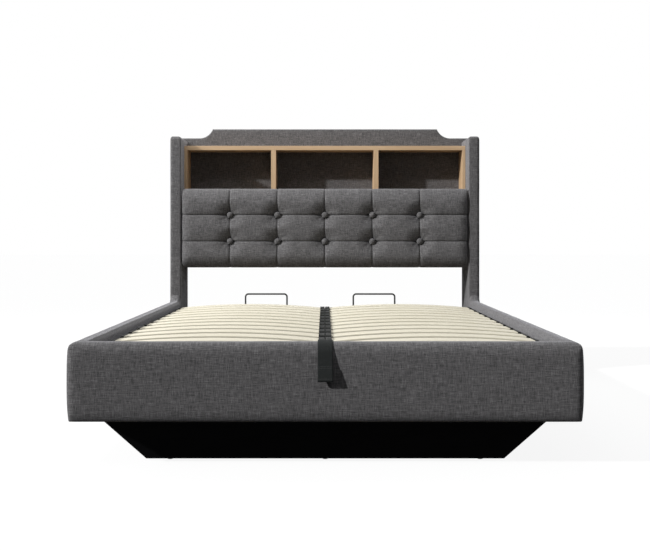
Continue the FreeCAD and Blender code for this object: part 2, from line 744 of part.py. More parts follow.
# Mattress hoops: bent rod, its legs let into the head tube
HOOPS = (("left", "-hoop_left_at"), ("right", "hoop_right_at"))
HOOP_Y = "platform_head - tube_width / 2"
for side, middle in HOOPS:
    for way in (-1, 1):
        pin(head_tube, "hoop_radius + seat_gap", f"{middle} + {way} * hoop_width / 2", HOOP_Y,
            ("tube_top - tube_wall - 1", "tube_top + 1"), cut=True)
for side, middle in HOOPS:
    part = new_part(f"{side}_mattress_hoop")
    top = "tube_height - tube_wall + hoop_rise"
    points = [("-hoop_width / 2", "0"), ("-hoop_width / 2", f"{top} - hoop_bend", "hoop_bend", -1),
              ("hoop_bend - hoop_width / 2", top), ("hoop_width / 2 - hoop_bend", top, "hoop_bend", -1),
              ("hoop_width / 2", f"{top} - hoop_bend"), ("hoop_width / 2", "0")]
    path = outline(part, "XZ_Plane", points, closed=False)
    ring = part.newObject("Sketcher::SketchObject", "Ring")
    ring.AttachmentSupport = [(datum(part, "XY_Plane"), "")]
    ring.MapMode = "FlatFace"
    ring.addGeometry(Part.Circle(FreeCAD.Vector(-value("hoop_width / 2"), 0, 0),
                                 FreeCAD.Vector(0, 0, 1), value("hoop_radius")))
    for kind, formula in (("DistanceX", "-hoop_width / 2"), ("DistanceY", "0")):
        number = ring.addConstraint(Sketcher.Constraint(kind, -1, 1, 0, 3, value(formula)))
        bind(ring, f"Constraints[{number}]", formula)
    number = ring.addConstraint(Sketcher.Constraint("Radius", 0, value("hoop_radius")))
    bind(ring, f"Constraints[{number}]", "hoop_radius")
    doc.recompute()
    pipe = part.newObject("PartDesign::AdditivePipe", "Pipe")
    pipe.Profile = ring
    pipe.Spine = (path, [])
    move(part, x=middle, y=HOOP_Y, z="tube_bottom + tube_wall")

# Slats: crowned strips in plastic holders along the side tubes and the centre tube
for side, way in SIDES:
    part = new_part(f"{side}_slats")
    low, high = "slat_radius", "slat_radius + slat_thickness"
    far = "slat_width - slat_round"
    points = [("slat_round", low), (far, low, "slat_round", 1),
              ("slat_width", f"{low} + slat_round"), ("slat_width", f"{high} - slat_round", "slat_round", 1),
              (far, high), ("slat_round", high, "slat_round", 1),
              ("0", f"{high} - slat_round"), ("0", f"{low} + slat_round", "slat_round", 1)]
    strip = part.newObject("PartDesign::Revolution", "Strip")
    strip.Profile = outline(part, "YZ_Plane", points)
    strip.ReferenceAxis = (datum(part, "Y_Axis"), [""])
    strip.Midplane = True
    bind(strip, "Angle", "2 * slat_half_turn")
    repeat(part, [strip], "y", "slat_count", "slat_pitch")
    move(part, x=f"{way} * (slat_end_gap + slat_length / 2)", y="slat_first",
         z="slat_seat + seat_gap - slat_radius * cos(slat_half_turn)")

POCKET_Z = ("slat_seat", "slat_seat + slat_thickness + 2.5")
POCKET_Y = ("holder_wall - seat_gap", "holder_wall + slat_width + seat_gap")
HOLDER_Z = ("tube_top", "tube_top + holder_height")
for side, way in SIDES:
    part = new_part(f"{side}_slat_holders")
    cap = block(part, across(way, "slat_outer - holder_grip", "tube_out - holder_inset"), ("0", "holder_width"),
                HOLDER_Z)
    pocket = block(part, across(way, "slat_outer - holder_grip - 1", "slat_outer + seat_gap"), POCKET_Y,
                   POCKET_Z, cut=True)
    repeat(part, [cap, pocket], "y", "slat_count", "slat_pitch")
    move(part, y="holder_first")

part = new_part("centre_slat_holders")
features = [block(part, ("-holder_centre / 2", "holder_centre / 2"), ("0", "holder_width"), HOLDER_Z)]
for way in (-1, 1):
    features.append(block(part, across(way, "slat_end_gap - seat_gap", "holder_centre / 2 + 1"), POCKET_Y,
                          POCKET_Z, cut=True))
features.append(block(part, ("-1", "1"), ("-1", "holder_width + 1"),
                      ("tube_top + holder_height - 3", "tube_top + holder_height + 1"), cut=True))
repeat(part, features, "y", "slat_count", "slat_pitch")
move(part, y="holder_first")

# Lift arms: angles under the side tubes that turn on the pivot pins and carry the rod studs
for side, way in SIDES:
    part = new_part(f"{side}_lift_arm")
    corners = [("pivot_y - arm_length", "tube_bottom"), ("pivot_y - arm_length", "tube_bottom - 20"),
               ("stud_y - 20", "pivot_height - 4"), ("pivot_y - 16", "pivot_height - 18"),
               ("pivot_y + 18", "pivot_height - 18"), ("pivot_y + 18", "tube_bottom")]
    pad(part, outline(part, "YZ_Plane", corners), "plate", reverse=way > 0)
    block(part, ("-arm_flange", "0") if way > 0 else ("0", "arm_flange"),
          ("pivot_y - arm_length", "pivot_y + 18"), ("tube_bottom - plate", "tube_bottom"))
    pin(part, "stud_radius", ("strut_at - eye_width / 2 - 4 - tube_out", "-plate / 2")
        if way > 0 else ("plate / 2", "tube_out - strut_at + eye_width / 2 + 4"), "stud_y", "stud_z")
    pin(part, "pin_radius + running_gap", ("-plate - 1", "1") if way > 0 else ("-1", "plate + 1"),
        "pivot_y", "pivot_height", cut=True)
    move(part, x=f"{way} * tube_out")

# Gas struts: a cylinder on each rail bracket and a rod on each lift arm
LEAN = "atan2(stud_z - base_z; stud_y - base_y)"
for side, way in SIDES:
    part = new_part(f"{side}_strut_cylinder")
    wall = [("0", "20"), ("strut_radius", "20"), ("strut_radius", "strut_length"),
            ("strut_bore", "strut_length"), ("strut_bore", "34"), ("0", "34")]
    turn = part.newObject("PartDesign::Revolution", "Turned")
    turn.Profile = outline(part, "XY_Plane", wall)
    turn.ReferenceAxis = (datum(part, "Y_Axis"), [""])
    turn.Angle = 360
    pin(part, "eye_radius + 1", ("-eye_width / 2", "eye_width / 2"), "0", "0")
    block(part, ("-eye_width / 2", "eye_width / 2"), ("0", "22"), ("-7", "7"))
    pin(part, "stud_radius + running_gap", ("-eye_width", "eye_width"), "0", "0", cut=True)
    part.Placement = FreeCAD.Placement(FreeCAD.Vector(), FreeCAD.Rotation(FreeCAD.Vector(1, 0, 0), 1))
    bind(part, "Placement.Rotation.Angle", LEAN)
    move(part, x=f"{way} * strut_at", y="base_y", z="base_z")

    part = new_part(f"{side}_strut_rod")
    pin(part, "rod_radius", "0", ("-rod_length", "-5"), "0")
    pin(part, "eye_radius", ("-eye_width / 2", "eye_width / 2"), "0", "0")
    pin(part, "stud_radius + running_gap", ("-eye_width", "eye_width"), "0", "0", cut=True)
    part.Placement = FreeCAD.Placement(FreeCAD.Vector(), FreeCAD.Rotation(FreeCAD.Vector(1, 0, 0), 1))
    bind(part, "Placement.Rotation.Angle", LEAN)
    move(part, x=f"{way} * strut_at", y="stud_y", z="stud_z")

# Pull strap: webbing fixed on the foot tube, over the foot rail, and the tail that hangs in front
part = new_part("strap_run")
low, high = "rail_top + strap_lift", "rail_top + strap_lift + strap_thickness"
start = "strap_y + seat_gap"
points = [(start, low), ("foot_back + 4", low), ("platform_foot + 18", "tube_top"),
          ("platform_foot + tube_width + 40", "tube_top"),
          ("platform_foot + tube_width + 40", "tube_top + strap_thickness"),
          ("platform_foot + 18 + 2.5", "tube_top + strap_thickness"), ("foot_back + 4 + 2.5", high),
          (start, high)]
pad(part, outline(part, "YZ_Plane", points), "strap_width", midplane=True)

part = new_part("strap_tail")
outer = "strap_bend + strap_thickness"
points = [("0", "strap_bend"), ("0", outer, outer, 1),
          (f"-({outer})", "0"), ("foot_front - strap_reach - strap_y", "-strap_drop"),
          ("foot_front - strap_reach - strap_y + strap_thickness", "-strap_drop"),
          ("-strap_bend", "0", "strap_bend", -1)]
pad(part, outline(part, "YZ_Plane", points), "strap_width", midplane=True)
move(part, y="strap_y", z="strap_z")

doc.recompute()
faults = []
for item in doc.Objects:
    if "Invalid" in item.State or "Error" in item.State:
        faults.append(f"{item.Label}: {item.State}")
for part in NODES:
    if part.Shape.isNull() or not part.Shape.isValid() or not part.Shape.Solids:
        faults.append(f"{part.Label}: no valid solid")
if faults:
    raise RuntimeError("; ".join(faults))

os.makedirs("parts", exist_ok=True)
for part in NODES:
    part.Shape.exportStep(f"parts/{part.Label}.step")
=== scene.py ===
import math

import bmesh
import bpy
import numpy as np
from mathutils import Matrix, Vector, noise


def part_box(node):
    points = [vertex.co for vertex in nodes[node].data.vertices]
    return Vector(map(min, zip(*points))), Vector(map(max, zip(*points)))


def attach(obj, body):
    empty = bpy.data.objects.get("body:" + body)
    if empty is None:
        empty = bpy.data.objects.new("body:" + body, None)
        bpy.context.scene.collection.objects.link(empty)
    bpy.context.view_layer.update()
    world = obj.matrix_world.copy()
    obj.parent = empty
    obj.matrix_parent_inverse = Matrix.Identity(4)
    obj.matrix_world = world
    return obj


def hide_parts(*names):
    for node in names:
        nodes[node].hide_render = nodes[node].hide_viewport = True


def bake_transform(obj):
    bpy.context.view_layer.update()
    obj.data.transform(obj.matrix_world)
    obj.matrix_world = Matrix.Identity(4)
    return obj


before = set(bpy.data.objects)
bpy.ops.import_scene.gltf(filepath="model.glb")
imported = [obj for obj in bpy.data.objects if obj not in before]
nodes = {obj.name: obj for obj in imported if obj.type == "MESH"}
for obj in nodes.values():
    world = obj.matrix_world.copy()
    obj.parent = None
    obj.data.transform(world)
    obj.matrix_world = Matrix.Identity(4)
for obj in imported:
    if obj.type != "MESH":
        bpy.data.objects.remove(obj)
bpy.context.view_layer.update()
scene = bpy.context.scene

# Studio: a pale floor under a graded white sky, a key light from the front left, a softbox over the
# bed, and fill lamps at its left, right and front and behind it. The camera stands level in front of
# the foot end and looks along the bed.
scene.view_settings.view_transform = "Standard"

camera = bpy.data.objects.new("camera", bpy.data.cameras.new("camera"))
scene.collection.objects.link(camera)
scene.camera = camera
camera.location = (-0.003, -4.301, 0.691)
camera.rotation_euler = (math.pi / 2, 0, 0)
camera.data.sensor_width = 36
camera.data.lens = 58.31
camera.data.shift_x = 0.0012
camera.data.shift_y = -0.0575
camera.data.clip_end = 80


def feed(tree, socket, given):
    """Links a node's output to a socket, or sets the socket to a number, vector or colour."""
    if isinstance(given, bpy.types.NodeSocket):
        tree.links.new(given, socket)
    elif socket.type == "RGBA" and len(given) == 3:
        socket.default_value = (*given, 1)
    else:
        socket.default_value = given


def node(tree, kind, output=0, **settings):
    """A shader node; lower-case settings are its options, the others its inputs."""
    made = tree.nodes.new("ShaderNode" + kind)
    for name, given in settings.items():
        if name[0].islower():
            setattr(made, name, given)
        else:
            feed(tree, made.inputs[name.replace("_", " ")], given)
    return made.outputs[output]


def sums(tree, operation, *given):
    """A Math node on up to three numbers or outputs."""
    made = tree.nodes.new("ShaderNodeMath")
    made.operation = operation
    for socket, number in zip(made.inputs, given):
        feed(tree, socket, number)
    return made.outputs[0]


def by_sight(tree, unseen, seen):
    """One shader for what the camera sees, also in a gloss or through glass, and one for the light given."""
    rays = tree.nodes.new("ShaderNodeLightPath").outputs
    share = sums(tree, "MAXIMUM", rays["Is Camera Ray"], rays["Is Glossy Ray"])
    share = sums(tree, "MAXIMUM", share, rays["Is Transmission Ray"])
    made = tree.nodes.new("ShaderNodeMixShader")
    for socket, given in zip(made.inputs, (share, unseen, seen)):
        tree.links.new(given, socket)
    return made.outputs[0]


def lamp(name, kind, place, aim, energy, **settings):
    """A lamp at a place, turned to face a point."""
    data = bpy.data.lights.new(name, kind)
    data.energy = energy
    for setting, number in settings.items():
        setattr(data, setting, number)
    made = bpy.data.objects.new(name, data)
    made.location = place
    made.rotation_euler = (Vector(aim) - Vector(place)).to_track_quat("-Z", "Y").to_euler()
    scene.collection.objects.link(made)


lamp("key_light", "SUN", (-3.95, -2.1, 2.9), (0, 0, 0.7), 4.75, angle=math.radians(2.0))
lamp("overhead_softbox", "AREA", (-0.95, 0.4, 2.55), (-0.2, 0.4, 0.2), 54, size=1.8)
lamp("right_fill", "AREA", (4.2, 0.3, 1.7), (0, 0.2, 0.5), 28, size=2.0)
lamp("left_fill", "AREA", (-4.2, 0.5, 1.8), (0, 0.2, 0.5), 80, size=2.0)
lamp("front_fill", "AREA", (0.4, -2.6, 1.9), (0, -1.19, 0.3), 7, size=0.8)
lamp("back_lamp", "AREA", (0.3, 4.4, 2.6), (0, 1.0, 0.6), 30, size=1.6)

world = bpy.data.worlds.new("studio")
world.use_nodes = True
scene.world = world
sky = world.node_tree
sky.nodes.clear()
HORIZON_GLOW, ZENITH_GLOW = 0.02, 0.37
height = node(sky, "SeparateXYZ", output=2, Vector=node(sky, "TexCoord"))
glow = node(sky, "MapRange", Value=height, From_Min=0.0, From_Max=1.0, To_Min=HORIZON_GLOW,
            To_Max=ZENITH_GLOW)
ambient = node(sky, "Background", Color=(0.95, 0.97, 1.0), Strength=glow)
white = node(sky, "Background", Color=(1, 1, 1), Strength=1.0)
sky.links.new(by_sight(sky, ambient, white), sky.nodes.new("ShaderNodeOutputWorld").inputs[0])

FLOOR_REACH, FLOOR_DROP = 40, 0.0006
corners = [(x * FLOOR_REACH, y * FLOOR_REACH, -FLOOR_DROP) for x, y in ((-1, -1), (1, -1), (1, 1), (-1, 1))]
floor = bpy.data.objects.new("floor", bpy.data.meshes.new("floor"))
floor.data.from_pydata(corners, [], [(0, 1, 2, 3)])
scene.collection.objects.link(floor)
paint = bpy.data.materials.new("pale_floor")
paint.use_nodes = True
tree = paint.node_tree
tree.nodes.clear()
pale = tree.nodes.new("ShaderNodeAddShader")
tree.links.new(node(tree, "BsdfDiffuse", Color=(0.1, 0.1, 0.1)), pale.inputs[0])
tree.links.new(node(tree, "Emission", Color=(1, 1, 1), Strength=0.9), pale.inputs[1])
bounce = node(tree, "BsdfDiffuse", Color=(0.05, 0.05, 0.05))
mixed = by_sight(tree, bounce, pale.outputs[0])
tree.links.new(mixed, tree.nodes.new("ShaderNodeOutputMaterial").inputs[0])
floor.data.materials.append(paint)


# Plinth: black foil-covered boards under the storage box, leaning in to the floor, with plastic
# glides nailed under them. The foil has a fine orange-peel, and its tone and gloss vary a little from place
# to place.
def new_finish(name, **constants):
    """A material with its node tree and its Principled shader, constants on the shader's sockets."""
    finish = bpy.data.materials.new(name)
    finish.use_nodes = True
    shader = finish.node_tree.nodes["Principled BSDF"]
    for socket, number in constants.items():
        feed(finish.node_tree, shader.inputs[socket.replace("_", " ")], number)
    return finish, finish.node_tree, shader.inputs


def place_on_piece(tree):
    """The point on the piece in metres."""
    return node(tree, "TexCoord", output=3)


def stretched(tree, scale, **settings):
    """Noise on the piece, with its own scale along each axis, per metre."""
    spread = node(tree, "VectorMath", operation="MULTIPLY")
    made = spread.node
    feed(tree, made.inputs[0], place_on_piece(tree))
    made.inputs[1].default_value = scale
    return node(tree, "TexNoise", Vector=spread, Scale=1.0, **settings)


def tint(tree, share, first, second):
    """A colour between two, by a share."""
    made = tree.nodes.new("ShaderNodeMix")
    made.data_type = "RGBA"
    for number, given in ((0, share), (6, first), (7, second)):
        feed(tree, made.inputs[number], given)
    return made.outputs[2]


def span(tree, given, low, high, to_low=0.0, to_high=1.0):
    """A number moved from one span to another, held at its ends."""
    return node(tree, "MapRange", Value=given, From_Min=low, From_Max=high, To_Min=to_low, To_Max=to_high)


def raise_surface(tree, inputs, height, distance, strength=1.0):
    """Bump from a height, in metres."""
    feed(tree, inputs["Normal"], node(tree, "Bump", Height=height, Distance=distance, Strength=strength))


def dress(finish, *names, edge=0.0):
    """Gives CAD nodes a finish, and a small rounding on their sharp edges."""
    for name in names:
        piece = nodes[name]
        for slot in piece.material_slots:
            slot.material = finish
        if edge:
            piece.modifiers.new("weld", "WELD").merge_threshold = 0.00002
            rounding = piece.modifiers.new("edge", "BEVEL")
            rounding.width = edge
            rounding.segments = 3
            rounding.limit_method = "ANGLE"
            rounding.angle_limit = math.radians(35)
            rounding.harden_normals = True


black_foil, tree, inputs = new_finish("black_foil", Specular_IOR_Level=0.02)
dust = stretched(tree, (9, 9, 22), Detail=6.0, Roughness=0.65)
peel = stretched(tree, (900, 900, 900), Detail=2.0)
feed(tree, inputs["Base Color"], tint(tree, span(tree, dust, 0.45, 0.75), (0.0012, 0.0012, 0.0014),
                                      (0.0028, 0.0028, 0.003)))
feed(tree, inputs["Roughness"], span(tree, dust, 0.3, 0.7, 0.55, 0.7))
raise_surface(tree, inputs, peel, 0.0002, 0.25)
dress(black_foil, "plinth_front_board", "plinth_middle_board", "plinth_rear_board", "plinth_left_board",
      "plinth_right_board", edge=0.0012)

glide_plastic, tree, inputs = new_finish("glide_plastic")
scuffs = stretched(tree, (160, 160, 160), Detail=4.0)
feed(tree, inputs["Base Color"], tint(tree, scuffs, (0.03, 0.03, 0.032), (0.07, 0.07, 0.07)))
feed(tree, inputs["Roughness"], span(tree, scuffs, 0.3, 0.7, 0.4, 0.6))
dress(glide_plastic, "plinth_glides")

# Storage floor: two grey melamine panels on the plinth, with pine cleats along the rails and a
# chipboard head rail that closes the box.
melamine, tree, inputs = new_finish("floor_melamine")
fleck = stretched(tree, (420, 420, 420), Detail=3.0)
cloud = stretched(tree, (6, 6, 6), Detail=3.0)
shade = tint(tree, span(tree, fleck, 0.35, 0.65), (0.075, 0.075, 0.078), (0.105, 0.105, 0.108))
clouded = span(tree, cloud, 0.4, 0.7, 0.0, 0.25)
feed(tree, inputs["Base Color"], tint(tree, clouded, shade, (0.13, 0.13, 0.13)))
feed(tree, inputs["Roughness"], span(tree, cloud, 0.3, 0.7, 0.45, 0.58))
raise_surface(tree, inputs, fleck, 0.0002, 0.2)
dress(melamine, "storage_floor_front", "storage_floor_rear", edge=0.001)


def timber(name, light, dark, along, rings, roughness, gloss=0.5):
    """Sawn or sliced wood: bands and fine pores drawn out along one axis of the piece."""
    finish, tree, inputs = new_finish(name, Specular_IOR_Level=gloss)
    band = [rings] * 3
    band["xyz".index(along)] = rings / 22
    pore = [rings * 14] * 3
    pore["xyz".index(along)] = rings / 3
    bands = stretched(tree, band, Detail=5.0, Roughness=0.6, Distortion=0.7)
    pores = stretched(tree, pore, Detail=2.0, Roughness=0.6)
    shade = tint(tree, span(tree, bands, 0.32, 0.68), light, dark)
    streak = span(tree, pores, 0.53, 0.72, 0.0, 0.4)
    feed(tree, inputs["Base Color"], tint(tree, streak, shade, tuple(0.62 * c for c in dark)))
    feed(tree, inputs["Roughness"], span(tree, pores, 0.35, 0.7, roughness - 0.06, roughness + 0.08))
    raise_surface(tree, inputs, pores, 0.0003, 0.3)
    return finish


pine = timber("cleat_pine", (0.56, 0.40, 0.22), (0.42, 0.27, 0.13), "y", 60, 0.6)
dress(pine, "floor_cleats", "rest_blocks", edge=0.001)

chipboard, tree, inputs = new_finish("chipboard", Roughness=0.8)
chips = node(tree, "TexVoronoi", output=1, Vector=place_on_piece(tree), Scale=170.0)
grain = stretched(tree, (260, 260, 260), Detail=4.0)
shade = tint(tree, node(tree, "SeparateColor", Color=chips), (0.34, 0.235, 0.135), (0.52, 0.39, 0.25))
feed(tree, inputs["Base Color"], tint(tree, span(tree, grain, 0.4, 0.7, 0.0, 0.5), shade, (0.27, 0.18, 0.10)))
raise_surface(tree, inputs, grain, 0.0005, 0.4)
dress(chipboard, "head_rail", "tufted_panel_board", edge=0.0008)
dress(chipboard, "foot_rail_board", "left_rail_board", "right_rail_board", "left_wing_board",
      "right_wing_board", "back_panel_board", edge=0.0008)


# Foot rail cover: linen-look cloth over thin foam, drawn over the foot board and stapled inside.
# The cloth is a plain weave of dark and pale slub yarns, and the foam rounds every edge.
def weave(tree):
    """Across and along the cloth in metres, whichever way a face points."""
    spot = tree.nodes.new("ShaderNodeSeparateXYZ")
    tree.links.new(place_on_piece(tree), spot.inputs[0])
    facing = tree.nodes.new("ShaderNodeSeparateXYZ")
    tree.links.new(node(tree, "NewGeometry", output=1), facing.inputs[0])
    x, y, z = spot.outputs
    side, front, top = (sums(tree, "ABSOLUTE", each) for each in facing.outputs)
    is_top = sums(tree, "GREATER_THAN", top, sums(tree, "MAXIMUM", side, front))
    is_side = sums(tree, "GREATER_THAN", side, sums(tree, "MAXIMUM", front, top))
    across = sums(tree, "MULTIPLY_ADD", is_side, sums(tree, "SUBTRACT", y, x), x)
    along = sums(tree, "MULTIPLY_ADD", is_top, sums(tree, "SUBTRACT", y, z), z)
    return across, along


def yarns(tree, across, along, wide, long, detail=2.0):
    """Noise drawn out along the yarns."""
    spot = node(tree, "CombineXYZ", X=sums(tree, "DIVIDE", across, wide), Y=sums(tree, "DIVIDE", along, long))
    return node(tree, "TexNoise", noise_dimensions="2D", Vector=spot, Scale=1.0, Detail=detail, Roughness=0.6)


linen, tree, inputs = new_finish("grey_linen", Roughness=0.95, Specular_IOR_Level=0.03, Sheen_Weight=0.26,
                                 Sheen_Roughness=0.45, Sheen_Tint=(0.95, 0.95, 1.0))
across, along = weave(tree)
warp = node(tree, "Mix", Factor=0.36, A=yarns(tree, across, along, 0.0012, 0.020),
            B=yarns(tree, across, along, 0.0036, 0.050))
weft = node(tree, "Mix", Factor=0.36, A=yarns(tree, across, along, 0.024, 0.0012),
            B=yarns(tree, across, along, 0.060, 0.0036))
pick = math.pi / 0.0011
over = sums(tree, "MULTIPLY", sums(tree, "SINE", sums(tree, "MULTIPLY", across, pick)),
            sums(tree, "SINE", sums(tree, "MULTIPLY", along, pick)))
warp_on_top = span(tree, over, -0.35, 0.35)
shade = node(tree, "Mix", Factor=warp_on_top, A=weft, B=warp)
yarn = tree.nodes.new("ShaderNodeValToRGB")
for position, colour in ((0.36, (0.031, 0.030, 0.031)), (0.5, (0.077, 0.075, 0.076)),
                         (0.66, (0.167, 0.162, 0.165))):
    stop = yarn.color_ramp.elements.new(position)
    stop.color = (*colour, 1)
for spare in (yarn.color_ramp.elements[-1], yarn.color_ramp.elements[0]):
    yarn.color_ramp.elements.remove(spare)
tree.links.new(shade, yarn.inputs[0])
feed(tree, inputs["Base Color"], yarn.outputs[0])
relief = sums(tree, "MULTIPLY_ADD", sums(tree, "ABSOLUTE", over), 0.5, shade)
raise_surface(tree, inputs, relief, 0.0005, 0.35)


def open_up(shape, is_open):
    """Takes away the faces that the cover leaves open."""
    bmesh.ops.recalc_face_normals(shape, faces=shape.faces)
    gone = [f for f in shape.faces if is_open(f.calc_center_median(), f.normal)]
    bmesh.ops.delete(shape, geom=gone, context="FACES")


def ripple(point, size, seed):
    """Slow smooth unevenness, from 0 to 1."""
    return 0.5 + 0.5 * noise.noise(point / size + Vector((seed, 2.7 * seed, 5.1 * seed)))


def make_piece(name, shape, finish, smooth=True, sharp=None):
    """Makes a piece of a shape; edges turned by more than an angle in degrees stay sharp."""
    piece = bpy.data.objects.new(name, bpy.data.meshes.new(name))
    shape.to_mesh(piece.data)
    shape.free()
    scene.collection.objects.link(piece)
    if smooth:
        piece.data.shade_smooth()
    if sharp:
        piece.data.set_sharp_from_angle(angle=math.radians(sharp))
    piece.data.materials.append(finish)
    return piece


def upholster(name, shape, body, thickness, *replaced, fill=0.9, turned_under=True):
    """Makes a cover of an open shape: foam inwards, bare cloth where it is turned under, on a body."""
    bmesh.ops.recalc_face_normals(shape, faces=shape.faces)
    cover = make_piece(name, shape, linen, sharp=50)
    if thickness:
        foam = cover.modifiers.new("foam", "SOLIDIFY")
        foam.thickness = thickness
        foam.offset = -1
    if thickness and turned_under:
        foamed = cover.vertex_groups.new(name="foamed")
        underside = min(point.co.z for point in cover.data.vertices) + UNDERSIDE
        foamed.add([point.index for point in cover.data.vertices if point.co.z > underside], 1.0, "REPLACE")
        foam.vertex_group = foamed.name
        foam.thickness_vertex_group = CLOTH / thickness
    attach(cover, body)
    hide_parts(*replaced)


def barrel(height, low, high):
    """How full the foam stands at a height: 1 half way up, 0 at the lower and upper edges."""
    return 1 - abs(2 * (height - low) / (high - low) - 1) ** 3


def soft_section(low, high, rounds, steps):
    """The outline of a padded section and its outward directions, from the lower near corner round.

    rounds are the two radii of each corner: lower near, lower far, upper far, upper near; steps are
    the parts that each straight run is cut into: lower, far, upper, near."""
    arcs = []
    for number, (wide, tall) in enumerate(rounds):
        far, up = number in (1, 2), number in (2, 3)
        middle = (high[0] - wide if far else low[0] + wide, high[1] - tall if up else low[1] + tall)
        arc = []
        for step in range(9):
            turn = math.pi * (1 + number / 2 + step / 16)
            ahead = Vector((math.cos(turn) / wide, math.sin(turn) / tall)).normalized()
            place = Vector((middle[0] + wide * math.cos(turn), middle[1] + tall * math.sin(turn)))
            arc.append((place, ahead))
        arcs.append(arc)
    section = []
    for arc, following, count in zip(arcs, arcs[1:] + arcs[:1], steps):
        section += arc
        start, ahead = arc[-1]
        stop = following[0][0]
        section += [(start.lerp(stop, step / count), ahead) for step in range(1, count)]
    return section


def skin(shape, rings):
    """Joins rings of points with faces, one after another."""
    loops = [[shape.verts.new(point) for point in ring] for ring in rings]
    for first, second in zip(loops, loops[1:]):
        for i in range(len(first)):
            after = (i + 1) % len(first)
            shape.faces.new((first[i], first[after], second[after], second[i]))
    return loops


CLOTH, HEM, FOAM, UNDERSIDE = 0.0011, 0.034, 0.006, 0.0004
FLAP_DROP, INNER_HALF, HEM_SAG, TOP_FULL = 0.088, 0.713, 0.0015, 0.0018
FRONT_FULL, FACE_UNEVEN, FACE_RIPPLE = 0.0034, 0.0008, 0.12
TOP_UNEVEN, TOP_RIPPLE = 0.001, 0.09
FLAT, AT_EDGE = 0.9, 0.001
low, high = (Vector(corner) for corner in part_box("foot_rail_cover"))
flap_bottom = high.z - FLAP_DROP
low.z -= HEM_SAG
high.z += TOP_FULL
FOOT_ROUNDS = ((0.014, 0.034), (0.003, 0.003), (0.012, 0.010), (0.036, 0.036))
END_ROUND, END_FULL = 0.025, 0.0055
FRONT_TURN, TOP_TURN, HEM_TURN, BACK_TURN = 0.024, 0.022, 0.0015, 0.004
straight = high.x - END_ROUND
places = [(x, 0.0) for x in np.linspace(-straight, straight, 51)]
turns = [math.pi / 2 * step / 9 for step in range(1, 10)]
turned = [(straight + END_ROUND * math.sin(turn), 1 - math.cos(turn)) for turn in turns]
places = [(-x, drawn) for x, drawn in reversed(turned)] + places + turned


def foot_ring(x, drawn, share=1.0):
    """One ring of the foot rail's cover; drawn in towards its ends, and smaller for the end faces."""
    ring = []
    end = max(0.0, (abs(x) - straight) / END_ROUND)
    near = Vector((low.y + FRONT_TURN * drawn, low.z + HEM_TURN * drawn))
    far = Vector((high.y - BACK_TURN * drawn, high.z - TOP_TURN * drawn))
    tighter = max(0.3, 1 - 2 * drawn)
    rounds = [(wide * tighter, tall * tighter) for wide, tall in FOOT_ROUNDS]
    for place, ahead in soft_section(near, far, rounds, (3, 12, 1, 10)):
        y, z = near.lerp(far, 0.5).lerp(place, share)
        spot = Vector((x, y, z))
        full = barrel(z, low.z, high.z)
        uneven = FACE_UNEVEN * ripple(spot, FACE_RIPPLE, 1)
        spot.y -= (FRONT_FULL * full - uneven) * max(0.0, -ahead.x) * (1 - drawn)
        spot.x += math.copysign((END_FULL * full - uneven) * end, x)
        spot.z -= TOP_UNEVEN * ripple(spot, TOP_RIPPLE, 2) * max(0.0, ahead.y)
        ring.append(spot)
    return ring


shape = bmesh.new()
left_end, right_end = places[0], places[-1]
rings = [foot_ring(*left_end, share) for share in (0.2, 0.6)] + [foot_ring(*place) for place in places]
rings += [foot_ring(*right_end, share) for share in (0.6, 0.2)]
loops = skin(shape, rings)
shape.faces.new(loops[0])
shape.faces.new(loops[-1])
open_up(shape, lambda spot, facing: facing.z < -FLAT and spot.z < low.z + AT_EDGE
        and spot.y > low.y + HEM and abs(spot.x) < high.x - HEM
        or facing.y > FLAT and spot.z < flap_bottom and abs(spot.x) < INNER_HALF)
upholster("foot_rail_upholstery", shape, "bed_frame", FOAM, "foot_rail_cover")

# Side rail covers: the same cloth and foam over the side boards, from the foot rail to the wings.
# The inner edge is drawn down and stapled to the board, and the top turns up where it meets a wing.
wing_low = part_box("left_wing_cover")[0]
FILLET, FILLET_RISE, FILLET_POWER, LIFT_BAND, WING_TUCK = 0.05, 0.030, 2.2, 0.05, 0.003
SIDE_ROUNDS = ((0.003, 0.003), (0.013, 0.032), (0.020, 0.020), (0.018, 0.018))
SIDE_FULL = 0.0036
for side, way in (("left", -1), ("right", 1)):
    low, high = (Vector(corner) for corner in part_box(f"{side}_rail_cover"))
    low.z -= HEM_SAG
    near, far = sorted((abs(low.x), abs(high.x)))
    section = soft_section((near, low.z), (far, high.z), SIDE_ROUNDS, (3, 10, 1, 12))
    places = list(np.linspace(low.y, wing_low.y - FILLET, 56))
    places += [wing_low.y - FILLET + FILLET * step / 10 for step in range(1, 11)] + [wing_low.y + WING_TUCK]
    rings = []
    for y in places:
        ring = []
        lift = FILLET_RISE * max(0.0, 1 - (wing_low.y - y) / FILLET) ** FILLET_POWER
        for place, ahead in section:
            spot = Vector((way * place.x, y, place.y))
            full = SIDE_FULL * barrel(spot.z, low.z, high.z) - FACE_UNEVEN * ripple(spot, FACE_RIPPLE, 3)
            spot.x += way * full * max(0.0, ahead.x)
            upper = min(1.0, max(0.0, (spot.z - high.z + LIFT_BAND) / LIFT_BAND))
            spot.z += (lift - TOP_UNEVEN * ripple(spot, TOP_RIPPLE, 4)) * upper
            ring.append(spot)
        rings.append(ring)
    shape = bmesh.new()
    skin(shape, rings)
    open_up(shape, lambda spot, facing: facing.z < -FLAT and spot.z < low.z + AT_EDGE
            and abs(spot.x) < far - HEM or facing.x * way < -FLAT and spot.z < flap_bottom)
    upholster(f"{side}_rail_upholstery", shape, "bed_frame", FOAM, f"{side}_rail_cover")


